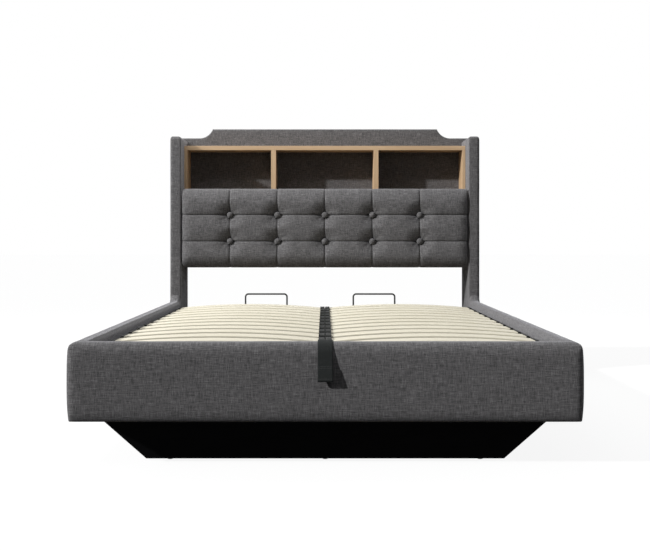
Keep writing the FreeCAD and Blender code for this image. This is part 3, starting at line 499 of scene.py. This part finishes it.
# Wing covers: cloth over foam on the two upright boards that hold the headboard, folded round the
# front and top edges and left open at the back.
def rounded_block(low, high, rounds, segments=7):
    """A box as a bmesh, with the edges named in rounds, such as x+z+, rounded to a radius."""
    block = bmesh.new()
    bmesh.ops.create_cube(block, size=1)
    for corner in block.verts:
        corner.co = Vector(a + (c + 0.5) * (b - a) for a, b, c in zip(low, high, corner.co))
    weight = block.edges.layers.float.new("bevel_weight_edge")
    widest = max(rounds.values())
    for edge in block.edges:
        for name, radius in rounds.items():
            faces = [("xyz".index(f[0]), high if f[1] == "+" else low) for f in (name[:2], name[2:])]
            if all(abs(end.co[axis] - limit[axis]) < 1e-6 for end in edge.verts for axis, limit in faces):
                edge[weight] = radius / widest
    draft = bpy.data.objects.new("draft", bpy.data.meshes.new("draft"))
    block.to_mesh(draft.data)
    block.free()
    scene.collection.objects.link(draft)
    rounding = draft.modifiers.new("rounding", "BEVEL")
    rounding.limit_method = "WEIGHT"
    rounding.width = widest
    rounding.segments = segments
    rounding.use_clamp_overlap = False
    made = bpy.data.meshes.new_from_object(draft.evaluated_get(bpy.context.evaluated_depsgraph_get()))
    bpy.data.objects.remove(draft)
    block = bmesh.new()
    block.from_mesh(made)
    bpy.data.meshes.remove(made)
    return block


def slice_up(shape, pitch):
    """Cuts the faces into a grid, so that the cloth can give a little everywhere."""
    for axis in range(3):
        places = [v.co[axis] for v in shape.verts]
        low, high = min(places), max(places)
        count = max(2, round((high - low) / pitch[axis]))
        normal = Vector(axis == i for i in range(3))
        for step in range(1, count):
            spot = normal * (low + (high - low) * step / count)
            bmesh.ops.bisect_plane(shape, geom=shape.verts[:] + shape.edges[:] + shape.faces[:],
                                   plane_co=spot, plane_no=normal, dist=0.0004)


WING_FRONT, WING_HALF, WING_FULL, WING_UNEVEN, WING_RIPPLE = 0.03, 0.026, 0.0022, 0.001, 0.13
for side, way in (("left", -1), ("right", 1)):
    low, high = (Vector(corner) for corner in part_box(f"{side}_wing_cover"))
    outer, near = ("x+", "x-") if way > 0 else ("x-", "x+")
    shape = rounded_block(low, high, {f"{outer}z+": 0.017, f"{near}z+": 0.014, f"{outer}y-": 0.014,
                                      f"{near}y-": 0.005, "y-z+": 0.016, f"{outer}y+": 0.003})
    slice_up(shape, (0.013, 0.025, 0.03))
    for point in shape.verts:
        spot = point.co.copy()
        front = max(0.0, 1 - (spot.y - low.y) / WING_FRONT)
        outside = max(0.0, (spot.x - (low.x + high.x) / 2) * way / WING_HALF)
        full = WING_FULL - WING_UNEVEN * ripple(spot, WING_RIPPLE, 5)
        point.co.y -= full * front
        point.co.x += way * full * outside
    open_up(shape, lambda spot, facing: facing.y > FLAT and spot.y > high.y - AT_EDGE
            or facing.z < -FLAT and spot.z < low.z + AT_EDGE)
    upholster(f"{side}_wing_upholstery", shape, "bed_frame", FOAM, f"{side}_wing_cover", turned_under=False)

# Back panel cover: one board with a raised middle and scooped corners, wrapped in the same cloth
# over thin foam on both faces.
low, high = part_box("back_panel_cover")
SHOULDER, RAISED_HALF, SCOOP_HALF, SCOOP_RADIUS, SCOOP_STEPS = 1.211, 0.5835, 0.6535, 0.075, 14
SOFT_EDGE, SOFT_STEPS, BACK_UNEVEN, BACK_RIPPLE = 0.008, 5, 0.0012, 0.16
centre = Vector((0.6531, 1.286))
start = math.atan2(SHOULDER - centre.y, SCOOP_HALF - centre.x)
stop = math.atan2(high.z - centre.y, RAISED_HALF - centre.x)
stop = stop - 2 * math.pi if stop > start else stop
arc = []
for step in range(SCOOP_STEPS + 1):
    turn = start + (stop - start) * step / SCOOP_STEPS
    arc.append((centre.x + SCOOP_RADIUS * math.cos(turn), centre.y + SCOOP_RADIUS * math.sin(turn)))
right_half = [(high.x, low.z), (high.x, SHOULDER)] + arc
outline = right_half + [(-x, z) for x, z in reversed(right_half)]


def inset(points, amount):
    """The outline drawn in by an amount, corner by corner."""
    drawn = []
    for i, point in enumerate(points):
        here = Vector(point)
        before = (here - Vector(points[i - 1])).normalized()
        after = (Vector(points[(i + 1) % len(points)]) - here).normalized()
        miter = (Vector((-before.y, before.x)) + Vector((-after.y, after.x))).normalized()
        share = max(0.4, miter.dot(Vector((-before.y, before.x))))
        drawn.append(here + miter * (amount / share))
    return drawn


edges = []
for step in range(SOFT_STEPS + 1):
    turn = math.pi / 2 * step / SOFT_STEPS
    edges.append((SOFT_EDGE * (1 - math.sin(turn)), low.y + SOFT_EDGE * (1 - math.cos(turn))))
edges += [(amount, low.y + high.y - depth) for amount, depth in reversed(edges)]
shape = bmesh.new()
loops = skin(shape, [[(p.x, depth, p.y) for p in inset(outline, amount)] for amount, depth in edges])
shape.faces.new(loops[0])
shape.faces.new(loops[-1])
slice_up(shape, (0.04, 0.05, 0.04))
for point in shape.verts:
    spot = point.co.copy()
    inward = BACK_UNEVEN if spot.y < (low.y + high.y) / 2 else -BACK_UNEVEN
    point.co.y += inward * ripple(spot, BACK_RIPPLE, 6)
upholster("back_panel_upholstery", shape, "bed_frame", 0, "back_panel_cover")

# Shelf: light oak decor boards between the wings, edge-banded in the same decor. The grain runs
# along each board.
OAK_LIGHT, OAK_DARK = (0.395, 0.275, 0.163), (0.318, 0.212, 0.119)
dress(timber("oak_decor_across", OAK_LIGHT, OAK_DARK, "x", 70, 0.5), "shelf_top_board",
      "shelf_bottom_board", edge=0.001)
dress(timber("oak_decor_upright", OAK_LIGHT, OAK_DARK, "z", 70, 0.5), "shelf_left_board",
      "shelf_right_board", "shelf_left_divider", "shelf_right_divider", edge=0.001)

# Tufted panel: foam and wadding sewn into six columns and three rows, pulled back by buttons at the
# inner crossings. The cloth rolls over the edges and is stapled round the panel board.
low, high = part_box("tufted_pad")
COLUMNS, ROWS, COLUMN_STEPS, ROW_STEPS, CROWDING = 6, 3, 60, 38, 0.85
FACE_IN, DEEPEST = 0.001, 0.046


def stations(start, stop, cells, steps):
    """Places along the pad, closest together at the seams."""
    places = []
    for cell in range(cells):
        for step in range(steps):
            share = step / steps
            share -= CROWDING * math.sin(2 * math.pi * share) / (2 * math.pi)
            places.append(start + (stop - start) * (cell + share) / cells)
    return np.array(places + [stop])


def slope(distance, width, power=2.0):
    """How far foam is drawn in beside a line, from 1 on the line to 0 at the width."""
    return (1 - np.clip(distance / width, 0, 1)) ** power


def corner(distance, radius):
    """How far a round edge falls away, from 1 on the edge to 0 at the radius."""
    return 1 - np.sqrt(1 - (1 - np.clip(distance / radius, 0, 1)) ** 2)


xs = stations(low.x, high.x, COLUMNS, COLUMN_STEPS)
zs = stations(low.z, high.z, ROWS, ROW_STEPS)
grid_x, grid_z = np.meshgrid(xs, zs)
seam_x = low.x + (high.x - low.x) * np.arange(1, COLUMNS) / COLUMNS
seam_z = low.z + (high.z - low.z) * np.arange(1, ROWS) / ROWS
from_x = np.abs(grid_x[..., None] - seam_x).min(-1)
from_z = np.abs(grid_z[..., None] - seam_z).min(-1)
from_end = np.minimum(grid_x - low.x, high.x - grid_x)
from_top, from_bottom = high.z - grid_z, grid_z - low.z
from_rim = np.minimum(from_top, from_bottom)
from_button = np.hypot(from_x, from_z)
SIDE_DROP, SIDE_REACH, SIDE_POWER = 0.016, 0.055, 2.6
TOP_DROP, TOP_REACH, TOP_ROLL, TOP_RADIUS = 0.029, 0.080, 0.013, 0.016
LOW_DROP, LOW_REACH, LOW_ROLL, LOW_RADIUS = 0.040, 0.062, 0.008, 0.010
sides = SIDE_DROP * slope(from_end, SIDE_REACH, SIDE_POWER)
ends = TOP_DROP * slope(from_top, TOP_REACH) + TOP_ROLL * corner(from_top, TOP_RADIUS)
ends += LOW_DROP * slope(from_bottom, LOW_REACH) + LOW_ROLL * corner(from_bottom, LOW_RADIUS)
ROW_CROWN, ROW_REACH, COLUMN_CROWN, COLUMN_REACH = 0.0052, 0.065, 0.003, 0.05
crown = ROW_CROWN * slope(from_z, ROW_REACH) + COLUMN_CROWN * slope(from_x, COLUMN_REACH)
CREASE, CREASE_WIDE, PULL, PULL_REACH = 0.0038, 0.0022, 1.5, 0.030
COLUMN_VALLEY, COLUMN_VALLEY_WIDE, ROW_VALLEY, ROW_VALLEY_WIDE = 0.0022, 0.013, 0.0024, 0.014
crease_x = CREASE * np.exp(-from_x / CREASE_WIDE) + COLUMN_VALLEY * slope(from_x, COLUMN_VALLEY_WIDE)
crease_z = CREASE * np.exp(-from_z / CREASE_WIDE) + ROW_VALLEY * slope(from_z, ROW_VALLEY_WIDE)
drawn = 1 + PULL * np.exp(-from_button / PULL_REACH)
depth = np.hypot(sides, ends) + crown + drawn * np.maximum(crease_x, crease_z)
DIMPLE, DIMPLE_REACH, DIMPLE_POWER = 0.034, 0.085, 1.8
depth += DIMPLE * slope(from_button, DIMPLE_REACH, DIMPLE_POWER)
PLEATS, PUCKER, PUCKER_AT, PUCKER_WIDE = 10, 0.0008, 0.032, 0.016
turn = np.arctan2(from_z, from_x)
depth += PUCKER * np.cos(PLEATS * turn) * np.exp(-(((from_button - PUCKER_AT) / PUCKER_WIDE) ** 2))
depth = np.minimum(depth, DEEPEST)
TUCK_SIDE, TUCK_RIM, TUCK_REACH, TUCK_WIDE = 0.0012, 0.0020, 0.006, 0.004
upward = np.sign(grid_z - (low.z + high.z) / 2)
tuck_x = np.sign(grid_x) * np.exp(-from_end / TUCK_REACH) * (TUCK_SIDE * np.exp(-from_z / TUCK_WIDE))
tuck_z = upward * np.exp(-from_rim / TUCK_REACH) * (TUCK_RIM * np.exp(-from_x / TUCK_WIDE))


def swell(xs, zs, depth, held, pressure, most):
    """Lets the pad's face swell as cloth, held along its seams, and gives how far each place moves."""
    points = [(x, y, z) for z, line in zip(zs, depth) for x, y in zip(xs, line)]
    wide = len(xs)
    faces = [(i, i + 1, i + wide + 1, i + wide) for i in range(len(points) - wide) if (i + 1) % wide]
    sheet = bpy.data.objects.new("swelling", bpy.data.meshes.new("swelling"))
    sheet.data.from_pydata(points, [], faces)
    scene.collection.objects.link(sheet)
    sewn = sheet.vertex_groups.new(name="sewn")
    sewn.add([i for i, fixed in enumerate(held.ravel()) if fixed], 1.0, "REPLACE")
    cloth = sheet.modifiers.new("cloth", "CLOTH")
    cloth.settings.quality = 6
    cloth.settings.mass = 0.3
    cloth.settings.tension_stiffness = 30
    cloth.settings.compression_stiffness = 10
    cloth.settings.bending_stiffness = 0.6
    cloth.settings.vertex_group_mass = sewn.name
    cloth.settings.use_pressure = True
    cloth.settings.uniform_pressure_force = pressure
    cloth.settings.effector_weights.gravity = 0
    cloth.point_cache.frame_end = SWELL_STEPS
    for step in range(1, SWELL_STEPS + 1):
        scene.frame_set(step)
    settled = sheet.evaluated_get(bpy.context.evaluated_depsgraph_get()).to_mesh()
    moved = np.array([b.co.y - a[1] for a, b in zip(points, settled.vertices)]).reshape(depth.shape)
    scene.frame_set(1)
    bpy.data.objects.remove(sheet)
    return np.clip(moved, -most, most)


COARSE, SWELL_STEPS, SWELL_PRESSURE, SWELL_MOST = 3, 20, 3.0, 0.003
SEAM_HOLD, RIM_HOLD, BUTTON_HOLD = 0.004, 0.012, 0.022
few_x, few_z = xs[::COARSE], zs[::COARSE]
thin = np.s_[::COARSE, ::COARSE]
held = (from_x < SEAM_HOLD) | (from_z < SEAM_HOLD) | (from_button < BUTTON_HOLD)
held = held | (from_end < RIM_HOLD) | (from_rim < RIM_HOLD)
moved = swell(few_x, few_z, low.y + FACE_IN + depth[thin], held[thin], SWELL_PRESSURE, SWELL_MOST)
along = np.array([np.interp(xs, few_x, line) for line in moved])
depth = depth + np.array([np.interp(zs, few_z, line) for line in along.T]).T

PAD_UNEVEN, PAD_RIPPLE, BUTTON_CALM = 0.0016, 0.07, 0.05
shape = bmesh.new()
lattice = []
for row in range(len(zs)):
    line = []
    for column in range(len(xs)):
        spot = Vector((xs[column], low.y + FACE_IN + depth[row, column], zs[row]))
        calm = min(1.0, from_button[row, column] / BUTTON_CALM)
        spot.y += PAD_UNEVEN * (ripple(spot, PAD_RIPPLE, 7) - 0.5) * calm
        spot.x -= tuck_x[row, column]
        spot.z -= tuck_z[row, column]
        line.append(shape.verts.new(spot))
    lattice.append(line)
for row in range(len(zs) - 1):
    for column in range(len(xs) - 1):
        shape.faces.new((lattice[row][column], lattice[row][column + 1], lattice[row + 1][column + 1],
                         lattice[row + 1][column]))
rim = (lattice[0] + [line[-1] for line in lattice[1:]] + lattice[-1][-2::-1]
       + [line[0] for line in lattice[-2:0:-1]])
middle = Vector(((low.x + high.x) / 2, 0, (low.z + high.z) / 2))
half = Vector(((high.x - low.x) / 2, 0, (high.z - low.z) / 2))
RIM_BAND = 0.005
roll_over = [(-0.0006, 0.9345), (-0.0008, 0.94), (-0.0004, 0.952), (0.0006, 0.968), (0.0018, 0.9725),
             (0.0034, 0.9732), (0.0034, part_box("tufted_panel_board")[0].y)]
for inset_by, depth_y in roll_over:
    outer = []
    for point in rim:
        spot = point.co.copy()
        if half.x - abs(spot.x - middle.x) < RIM_BAND:
            spot.x -= math.copysign(inset_by, spot.x - middle.x)
        if half.z - abs(spot.z - middle.z) < RIM_BAND:
            spot.z -= math.copysign(inset_by, spot.z - middle.z)
        spot.y = depth_y
        outer.append(shape.verts.new(spot))
    for i in range(len(rim)):
        after = (i + 1) % len(rim)
        shape.faces.new((rim[after], rim[i], outer[i], outer[after]))
    rim = outer
shape.faces.new(rim)
upholster("tufted_panel_upholstery", shape, "bed_frame", 0, "tufted_pad", fill=0.95)

# Tuft buttons: domed metal shells covered in the same cloth, which pleats round their rims. Each is
# drawn into the foam on twine where two seams cross.
BUTTON_SIDES, BUTTON_SINK, PLEAT_DEPTH, PLEAT_FROM = 40, 0.0030, 0.02, 0.008
profile = [(0.0, -0.0125), (0.0038, -0.0121), (0.0075, -0.0109), (0.0108, -0.0088), (0.0134, -0.0059),
           (0.0150, -0.0028), (0.0153, -0.0002), (0.0145, 0.0022), (0.0122, 0.0037), (0.0, 0.0041)]
shape = bmesh.new()
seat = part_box("tuft_buttons")[1].y - BUTTON_SINK
for x in seam_x:
    for z in seam_z:
        rings = []
        for radius, rise in profile[1:-1]:
            ring = []
            for step in range(BUTTON_SIDES):
                turn = 2 * math.pi * step / BUTTON_SIDES
                gather = min(1, max(0, (rise + PLEAT_FROM) / PLEAT_FROM))
                pleat = 1 - PLEAT_DEPTH * (0.5 + 0.5 * math.cos(PLEATS * turn)) * gather
                ring.append((x + radius * pleat * math.cos(turn), seat + rise,
                             z + radius * pleat * math.sin(turn)))
            rings.append(ring)
        loops = skin(shape, rings)
        front, rear = (shape.verts.new((x, seat + rise, z)) for radius, rise in (profile[0], profile[-1]))
        for i in range(BUTTON_SIDES):
            after = (i + 1) % BUTTON_SIDES
            shape.faces.new((loops[0][after], loops[0][i], front))
            shape.faces.new((loops[-1][i], loops[-1][after], rear))
bmesh.ops.recalc_face_normals(shape, faces=shape.faces)
buttons = make_piece("tuft_button_covers", shape, linen)
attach(buttons, "bed_frame")
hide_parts("tuft_buttons")

# Fixings: pressed zinc-plated angles and plates, screws and nuts, and the black hinge brackets that
# carry the lift's pivot pins.
zinc, tree, inputs = new_finish("zinc_plate", Metallic=1.0)
spangle = node(tree, "TexVoronoi", output=1, Vector=place_on_piece(tree), Scale=260.0)
smear = stretched(tree, (70, 70, 70), Detail=4.0)
feed(tree, inputs["Base Color"], tint(tree, node(tree, "SeparateColor", Color=spangle), (0.52, 0.54, 0.56),
                                      (0.64, 0.65, 0.66)))
feed(tree, inputs["Roughness"], span(tree, smear, 0.3, 0.7, 0.28, 0.46))
dress(zinc, "corner_brackets", "wing_plates", edge=0.0006)
dress(zinc, "frame_screws", "pivot_nuts")

black_steel, tree, inputs = new_finish("black_powder_coat", Specular_IOR_Level=0.35)
orange_peel = stretched(tree, (700, 700, 700), Detail=2.0)
handling = stretched(tree, (25, 25, 25), Detail=5.0)
feed(tree, inputs["Base Color"], tint(tree, span(tree, handling, 0.4, 0.7), (0.012, 0.012, 0.013),
                                      (0.024, 0.024, 0.025)))
feed(tree, inputs["Roughness"], span(tree, handling, 0.3, 0.7, 0.40, 0.52))
raise_surface(tree, inputs, orange_peel, 0.0002, 0.2)
dress(black_steel, "left_hinge_bracket", "right_hinge_bracket", "panel_brackets", edge=0.0005)

# Lift platform: a welded frame of black powder-coated steel tube under the slats, with two hoops of
# bent rod that keep the mattress from sliding.
dress(black_steel, "left_platform_tube", "right_platform_tube", "foot_platform_tube", "head_platform_tube",
      "centre_platform_tube", "cross_platform_tubes", edge=0.0018)
dress(black_steel, "left_lift_arm", "right_lift_arm", edge=0.0006)
plug_plastic, tree, inputs = new_finish("plug_plastic", Specular_IOR_Level=0.3)
grain = stretched(tree, (1100, 1100, 1100), Detail=2.0)
feed(tree, inputs["Base Color"], tint(tree, grain, (0.014, 0.014, 0.014), (0.028, 0.028, 0.028)))
feed(tree, inputs["Roughness"], span(tree, grain, 0.3, 0.7, 0.45, 0.6))
raise_surface(tree, inputs, grain, 0.0003, 0.3)
PLUG_RIM, PLUG_STEM, PLUG_ROUND, TUBE_WALL = 0.0022, 0.012, 0.0015, 0.0022
shape = bmesh.new()
for side in ("left", "right"):
    low, high = (Vector(corner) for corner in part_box(f"{side}_platform_tube"))
    for end, way, face in ((low.y, -1, "y-"), (high.y, 1, "y+")):
        rim = sorted((end, end + way * PLUG_RIM))
        stem = sorted((end - way * PLUG_STEM, end + way * PLUG_RIM / 2))
        rounds = dict.fromkeys((f"x-{face}", f"x+{face}", f"{face}z-", f"{face}z+"), PLUG_ROUND)
        for (near, far), inward in ((rim, 0.0), (stem, TUBE_WALL)):
            block = rounded_block((low.x + inward, near, low.z + inward),
                                  (high.x - inward, far, high.z - inward), rounds, segments=3)
            made = bpy.data.meshes.new("plug")
            block.to_mesh(made)
            block.free()
            shape.from_mesh(made)
            bpy.data.meshes.remove(made)
plugs = make_piece("tube_end_plugs", shape, plug_plastic, smooth=False)
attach(plugs, "lift_platform")
hoop_steel, tree, inputs = new_finish("hoop_steel", Specular_IOR_Level=0.3)
orange_peel = stretched(tree, (900, 900, 900), Detail=2.0)
feed(tree, inputs["Base Color"], tint(tree, orange_peel, (0.008, 0.008, 0.009), (0.020, 0.020, 0.021)))
feed(tree, inputs["Roughness"], span(tree, orange_peel, 0.3, 0.7, 0.36, 0.48))
raise_surface(tree, inputs, orange_peel, 0.0003, 0.2)
dress(hoop_steel, "left_mattress_hoop", "right_mattress_hoop")

# Slats: crowned strips of bent birch plywood, sanded pale, with fine grain along their length. Their
# ends are pushed into the holders.
slat_wood = timber("slat_birch", (0.525, 0.494, 0.405), (0.475, 0.441, 0.349), "x", 90, 0.5, 0.12)
dress(slat_wood, "left_slats", "right_slats")

# Slat holders: moulded black plastic caps clipped on the tubes, each with a pocket that grips a
# slat's end behind a flared lip. The centre ones are double, with a groove between the pockets.
moulded, tree, inputs = new_finish("holder_plastic", Specular_IOR_Level=0.06)
spark = stretched(tree, (1300, 1300, 1300), Detail=2.0)
flow = stretched(tree, (30, 30, 30), Detail=3.0)
feed(tree, inputs["Base Color"], tint(tree, flow, (0.0095, 0.0100, 0.0096), (0.0180, 0.0188, 0.0180)))
feed(tree, inputs["Roughness"], span(tree, flow, 0.3, 0.7, 0.42, 0.55))
raise_surface(tree, inputs, spark, 0.0003, 0.3)
SLAT_COUNT, HOLDER_WIDE, HOLDER_CROWN = 12, 0.101, 0.0022
HOLDER_ROUNDS = ((0.001, 0.001), (0.001, 0.001), (0.005, 0.005), (0.005, 0.005))
POCKET_ROUNDS = ((0.002, 0.002),) * 4
RUN_STEPS = (10, 2, 10, 2)
FLOOR_UP, ROOF_UP, POCKET_IN = 0.010, 0.0193, 0.0027
LIP, LIP_LONG, LIP_FALL = 0.0011, 0.0012, 0.0030
MOUTH_IN, MOUTH_LEAN, POCKET_END = 0.0008, 0.0048, 0.0098
GROOVE, GROOVE_TOP, GROOVE_FOOT = 0.008, 0.0015, 0.0009
CAP_SHORT, CAP_LOW = 0.010, 0.0022
BACK_WALL, BACK_EDGE, BACK_DROP, BACK_IN = 0.0028, 0.0030, 0.0025, 0.0008


def holder_ring(x, start, base, top, grow=0.0, hump=HOLDER_CROWN):
    """The outside of a holder at one place along the slat, crowned on top."""
    ring = []
    section = soft_section((start - grow, base), (start + HOLDER_WIDE + grow, top + grow), HOLDER_ROUNDS,
                           RUN_STEPS)
    for place, ahead in section:
        share = 2 * (place.x - start) / HOLDER_WIDE - 1
        crown = hump * max(0.0, 1 - share ** 2) * max(0.0, ahead.y)
        ring.append(Vector((x, place.x, place.y + crown)))
    return ring


def pocket_ring(x, start, base):
    """The inside of a holder, round the slat."""
    section = soft_section((start + POCKET_IN, base + FLOOR_UP),
                           (start + HOLDER_WIDE - POCKET_IN, base + ROOF_UP), POCKET_ROUNDS, RUN_STEPS)
    return [Vector((x, place.x, place.y)) for place, ahead in section]


for name in ("left_slat_holders", "right_slat_holders", "centre_slat_holders"):
    low, high = (Vector(corner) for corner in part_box(name))
    shape = bmesh.new()
    for start in np.linspace(low.y, high.y - HOLDER_WIDE, SLAT_COUNT):
        spot = (start, low.z, high.z)
        if name.startswith("centre"):
            mouth = high.x - MOUTH_IN
            half = [pocket_ring(POCKET_END, *spot[:2]), pocket_ring(mouth, *spot[:2]),
                    holder_ring(mouth, *spot, LIP), holder_ring(mouth - LIP_LONG, *spot, LIP),
                    holder_ring(mouth - LIP_FALL, *spot)]
            for ring in half[1:]:
                for point in ring:
                    point.x -= MOUTH_LEAN * (point.z - low.z) / (high.z - low.z)
            half += [holder_ring(GROOVE_TOP, *spot), holder_ring(GROOVE_FOOT, start, low.z, high.z - GROOVE)]
            other = [[Vector((-p.x, p.y, p.z)) for p in ring] for ring in reversed(half)]
            rings = half + other
        else:
            mouth, back = (low.x, high.x) if name.startswith("right") else (high.x, low.x)
            way = math.copysign(1, back)
            mouth += way * CAP_SHORT
            low_cap = (start, low.z, high.z - CAP_LOW)
            rings = [pocket_ring(back - way * BACK_WALL, *spot[:2]), pocket_ring(mouth, *spot[:2]),
                     holder_ring(mouth, *low_cap, LIP / 2, 0.0),
                     holder_ring(mouth + way * LIP_LONG, *low_cap, LIP / 2, 0.0),
                     holder_ring(mouth + way * LIP_FALL, *low_cap, hump=0.0),
                     holder_ring(back - way * BACK_EDGE, *low_cap, hump=0.0),
                     holder_ring(back, start, low.z, high.z - CAP_LOW - BACK_DROP, -BACK_IN, 0.0)]
        loops = skin(shape, rings)
        shape.faces.new(loops[0])
        shape.faces.new(loops[-1])
    bmesh.ops.recalc_face_normals(shape, faces=shape.faces)
    piece = make_piece(name.replace("slat_holders", "holder_caps"), shape, moulded, sharp=40)
    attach(piece, "lift_platform")
    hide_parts(name)

# Gas struts: black enamelled cylinders with hard-chromed rods. They turn on studs on the hinge
# brackets and on the lift arms, and hold the platform up.
dress(black_steel, "left_strut_cylinder", "right_strut_cylinder")
chrome, tree, inputs = new_finish("rod_chrome", Metallic=1.0, Base_Color=(0.78, 0.78, 0.8))
polish = stretched(tree, (40, 40, 40), Detail=3.0)
feed(tree, inputs["Roughness"], span(tree, polish, 0.3, 0.7, 0.08, 0.2))
dress(chrome, "left_strut_rod", "right_strut_rod")

# Pull strap: doubled polypropylene webbing, fixed on the foot tube, laid over the foot rail and left
# hanging, with a hem of the same webbing folded round its end and stitched across.
webbing, tree, inputs = new_finish("black_webbing", Roughness=0.8, Specular_IOR_Level=0.04)
spot = tree.nodes.new("ShaderNodeSeparateXYZ")
tree.links.new(place_on_piece(tree), spot.inputs[0])
RIB_PITCH, PICK_PITCH = 0.0028, 0.0019
ribs = sums(tree, "SINE", sums(tree, "MULTIPLY", spot.outputs[0], 2 * math.pi / RIB_PITCH))
picks = sums(tree, "SINE", sums(tree, "MULTIPLY", spot.outputs[2], 2 * math.pi / PICK_PITCH))
crossed = sums(tree, "MULTIPLY", ribs, picks)
twill = sums(tree, "MULTIPLY_ADD", ribs, 0.5, sums(tree, "MULTIPLY", crossed, 0.5))
lint = stretched(tree, (150, 150, 60), Detail=4.0)
shade = tint(tree, span(tree, twill, -0.8, 0.8), (0.0112, 0.0122, 0.0122), (0.0225, 0.0246, 0.0240))
linty = span(tree, lint, 0.5, 0.8, 0.0, 0.3)
feed(tree, inputs["Base Color"], tint(tree, linty, shade, (0.035, 0.035, 0.035)))
raise_surface(tree, inputs, twill, 0.0004, 0.5)

STRAP_WIDTH, LAYER, LAYER_GAP, HEM_GAP = 0.045, 0.0020, 0.0001, 0.0003
FOLD_STEPS, HEM_STEPS, SMOOTHINGS = 8, 10, 4
line = [Vector(p) for p in ((-1.056, 0.3354), (-1.100, 0.3354), (-1.108, 0.3356), (-1.1215, 0.3790),
                            (-1.130, 0.3838), (-1.145, 0.3840), (-1.163, 0.3818), (-1.180, 0.3742),
                            (-1.1918, 0.3600), (-1.1955, 0.345), (-1.2010, 0.318), (-1.2117, 0.2728))]
for smoothing in range(SMOOTHINGS):
    cut = [line[0]]
    for first, second in zip(line, line[1:]):
        cut += [first.lerp(second, 0.25), first.lerp(second, 0.75)]
    line = cut + [line[-1]]
flow = [(b - a).normalized() for a, b in zip(line, line[1:])]
flow.append(flow[-1])
outward = [Vector((d.y, -d.x)) for d in flow]
ply_at = LAYER / 2 + LAYER_GAP
outer = [p + out * ply_at for p, out in zip(line, outward)]
under = [p - out * ply_at for p, out in zip(line, outward)]
fold = []
for step in range(1, FOLD_STEPS):
    turn = math.pi * step / FOLD_STEPS
    side = (outer[-1] - line[-1]) * math.cos(turn)
    fold.append(line[-1] + side + flow[-1] * ply_at * math.sin(turn))
path = outer + fold + under[::-1]
half_width = STRAP_WIDTH / 2
SELVEDGE, SELVEDGE_IN, SELVEDGE_HALF, YARNS = 0.0008, 0.0002, 0.0006, 13
flat_half, round_half = half_width - SELVEDGE, half_width - SELVEDGE_IN
section = [(x, LAYER / 2) for x in np.linspace(-flat_half, flat_half, YARNS)]
section += [(round_half, SELVEDGE_HALF), (half_width, 0.0), (round_half, -SELVEDGE_HALF)]
section += [(x, -LAYER / 2) for x in np.linspace(flat_half, -flat_half, YARNS)]
section += [(-round_half, -SELVEDGE_HALF), (-half_width, 0.0), (-round_half, SELVEDGE_HALF)]
HEM_TOP, HEM_BACK, PLY = 0.3165, 0.3000, LAYER + HEM_GAP
tail = [i for i in range(len(line) // 2, len(line)) if line[i].y < HEM_TOP]
hem = [outer[i] + outward[i] * PLY for i in tail]
for step in range(1, HEM_STEPS):
    turn = math.pi * step / HEM_STEPS
    hem.append(line[-1] + (ply_at + PLY) * (outward[-1] * math.cos(turn) + flow[-1] * math.sin(turn)))
hem += [under[i] - outward[i] * PLY for i in reversed(tail) if line[i].y < HEM_BACK]
shape = bmesh.new()
for strip in (path, hem):
    rings = []
    for i, point in enumerate(strip):
        ahead = (strip[min(i + 1, len(strip) - 1)] - strip[max(i - 1, 0)]).normalized()
        out = Vector((-ahead.y, ahead.x))
        rings.append([(x, point.x + out.x * rise, point.y + out.y * rise) for x, rise in section])
    loops = skin(shape, rings)
    shape.faces.new(loops[0])
    shape.faces.new(loops[-1])
bmesh.ops.recalc_face_normals(shape, faces=shape.faces)
strap = make_piece("pull_strap_webbing", shape, webbing, sharp=60)
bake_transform(strap)
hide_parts("strap_run", "strap_tail")

thread, tree, inputs = new_finish("strap_thread", Roughness=0.6)
twist = stretched(tree, (2200, 600, 600), Detail=2.0)
feed(tree, inputs["Base Color"], tint(tree, twist, (0.010, 0.010, 0.010), (0.026, 0.026, 0.026)))
raise_surface(tree, inputs, twist, 0.0002, 0.5)
STITCH, STITCHES, SEAM_IN = (0.0016, 0.0004, 0.0005), 10, 0.004
shape = bmesh.new()
for height in (HEM_TOP - SEAM_IN, HEM_TOP - 2 * SEAM_IN, line[-1].y + SEAM_IN):
    place = min(tail, key=lambda i: abs(line[i].y - height))
    for face, way in ((outer, 1), (under, -1)):
        over_hem = PLY if way > 0 or height < HEM_BACK else 0
        spot = face[place] + outward[place] * way * (LAYER * 0.52 + over_hem)
        for x in np.linspace(-half_width + SEAM_IN, half_width - SEAM_IN, STITCHES):
            bmesh.ops.create_uvsphere(shape, u_segments=8, v_segments=6, radius=1,
                                      matrix=Matrix.LocRotScale((x, *spot), None, STITCH))
stitches = make_piece("pull_strap_stitches", shape, thread)
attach(stitches, "pull_strap")
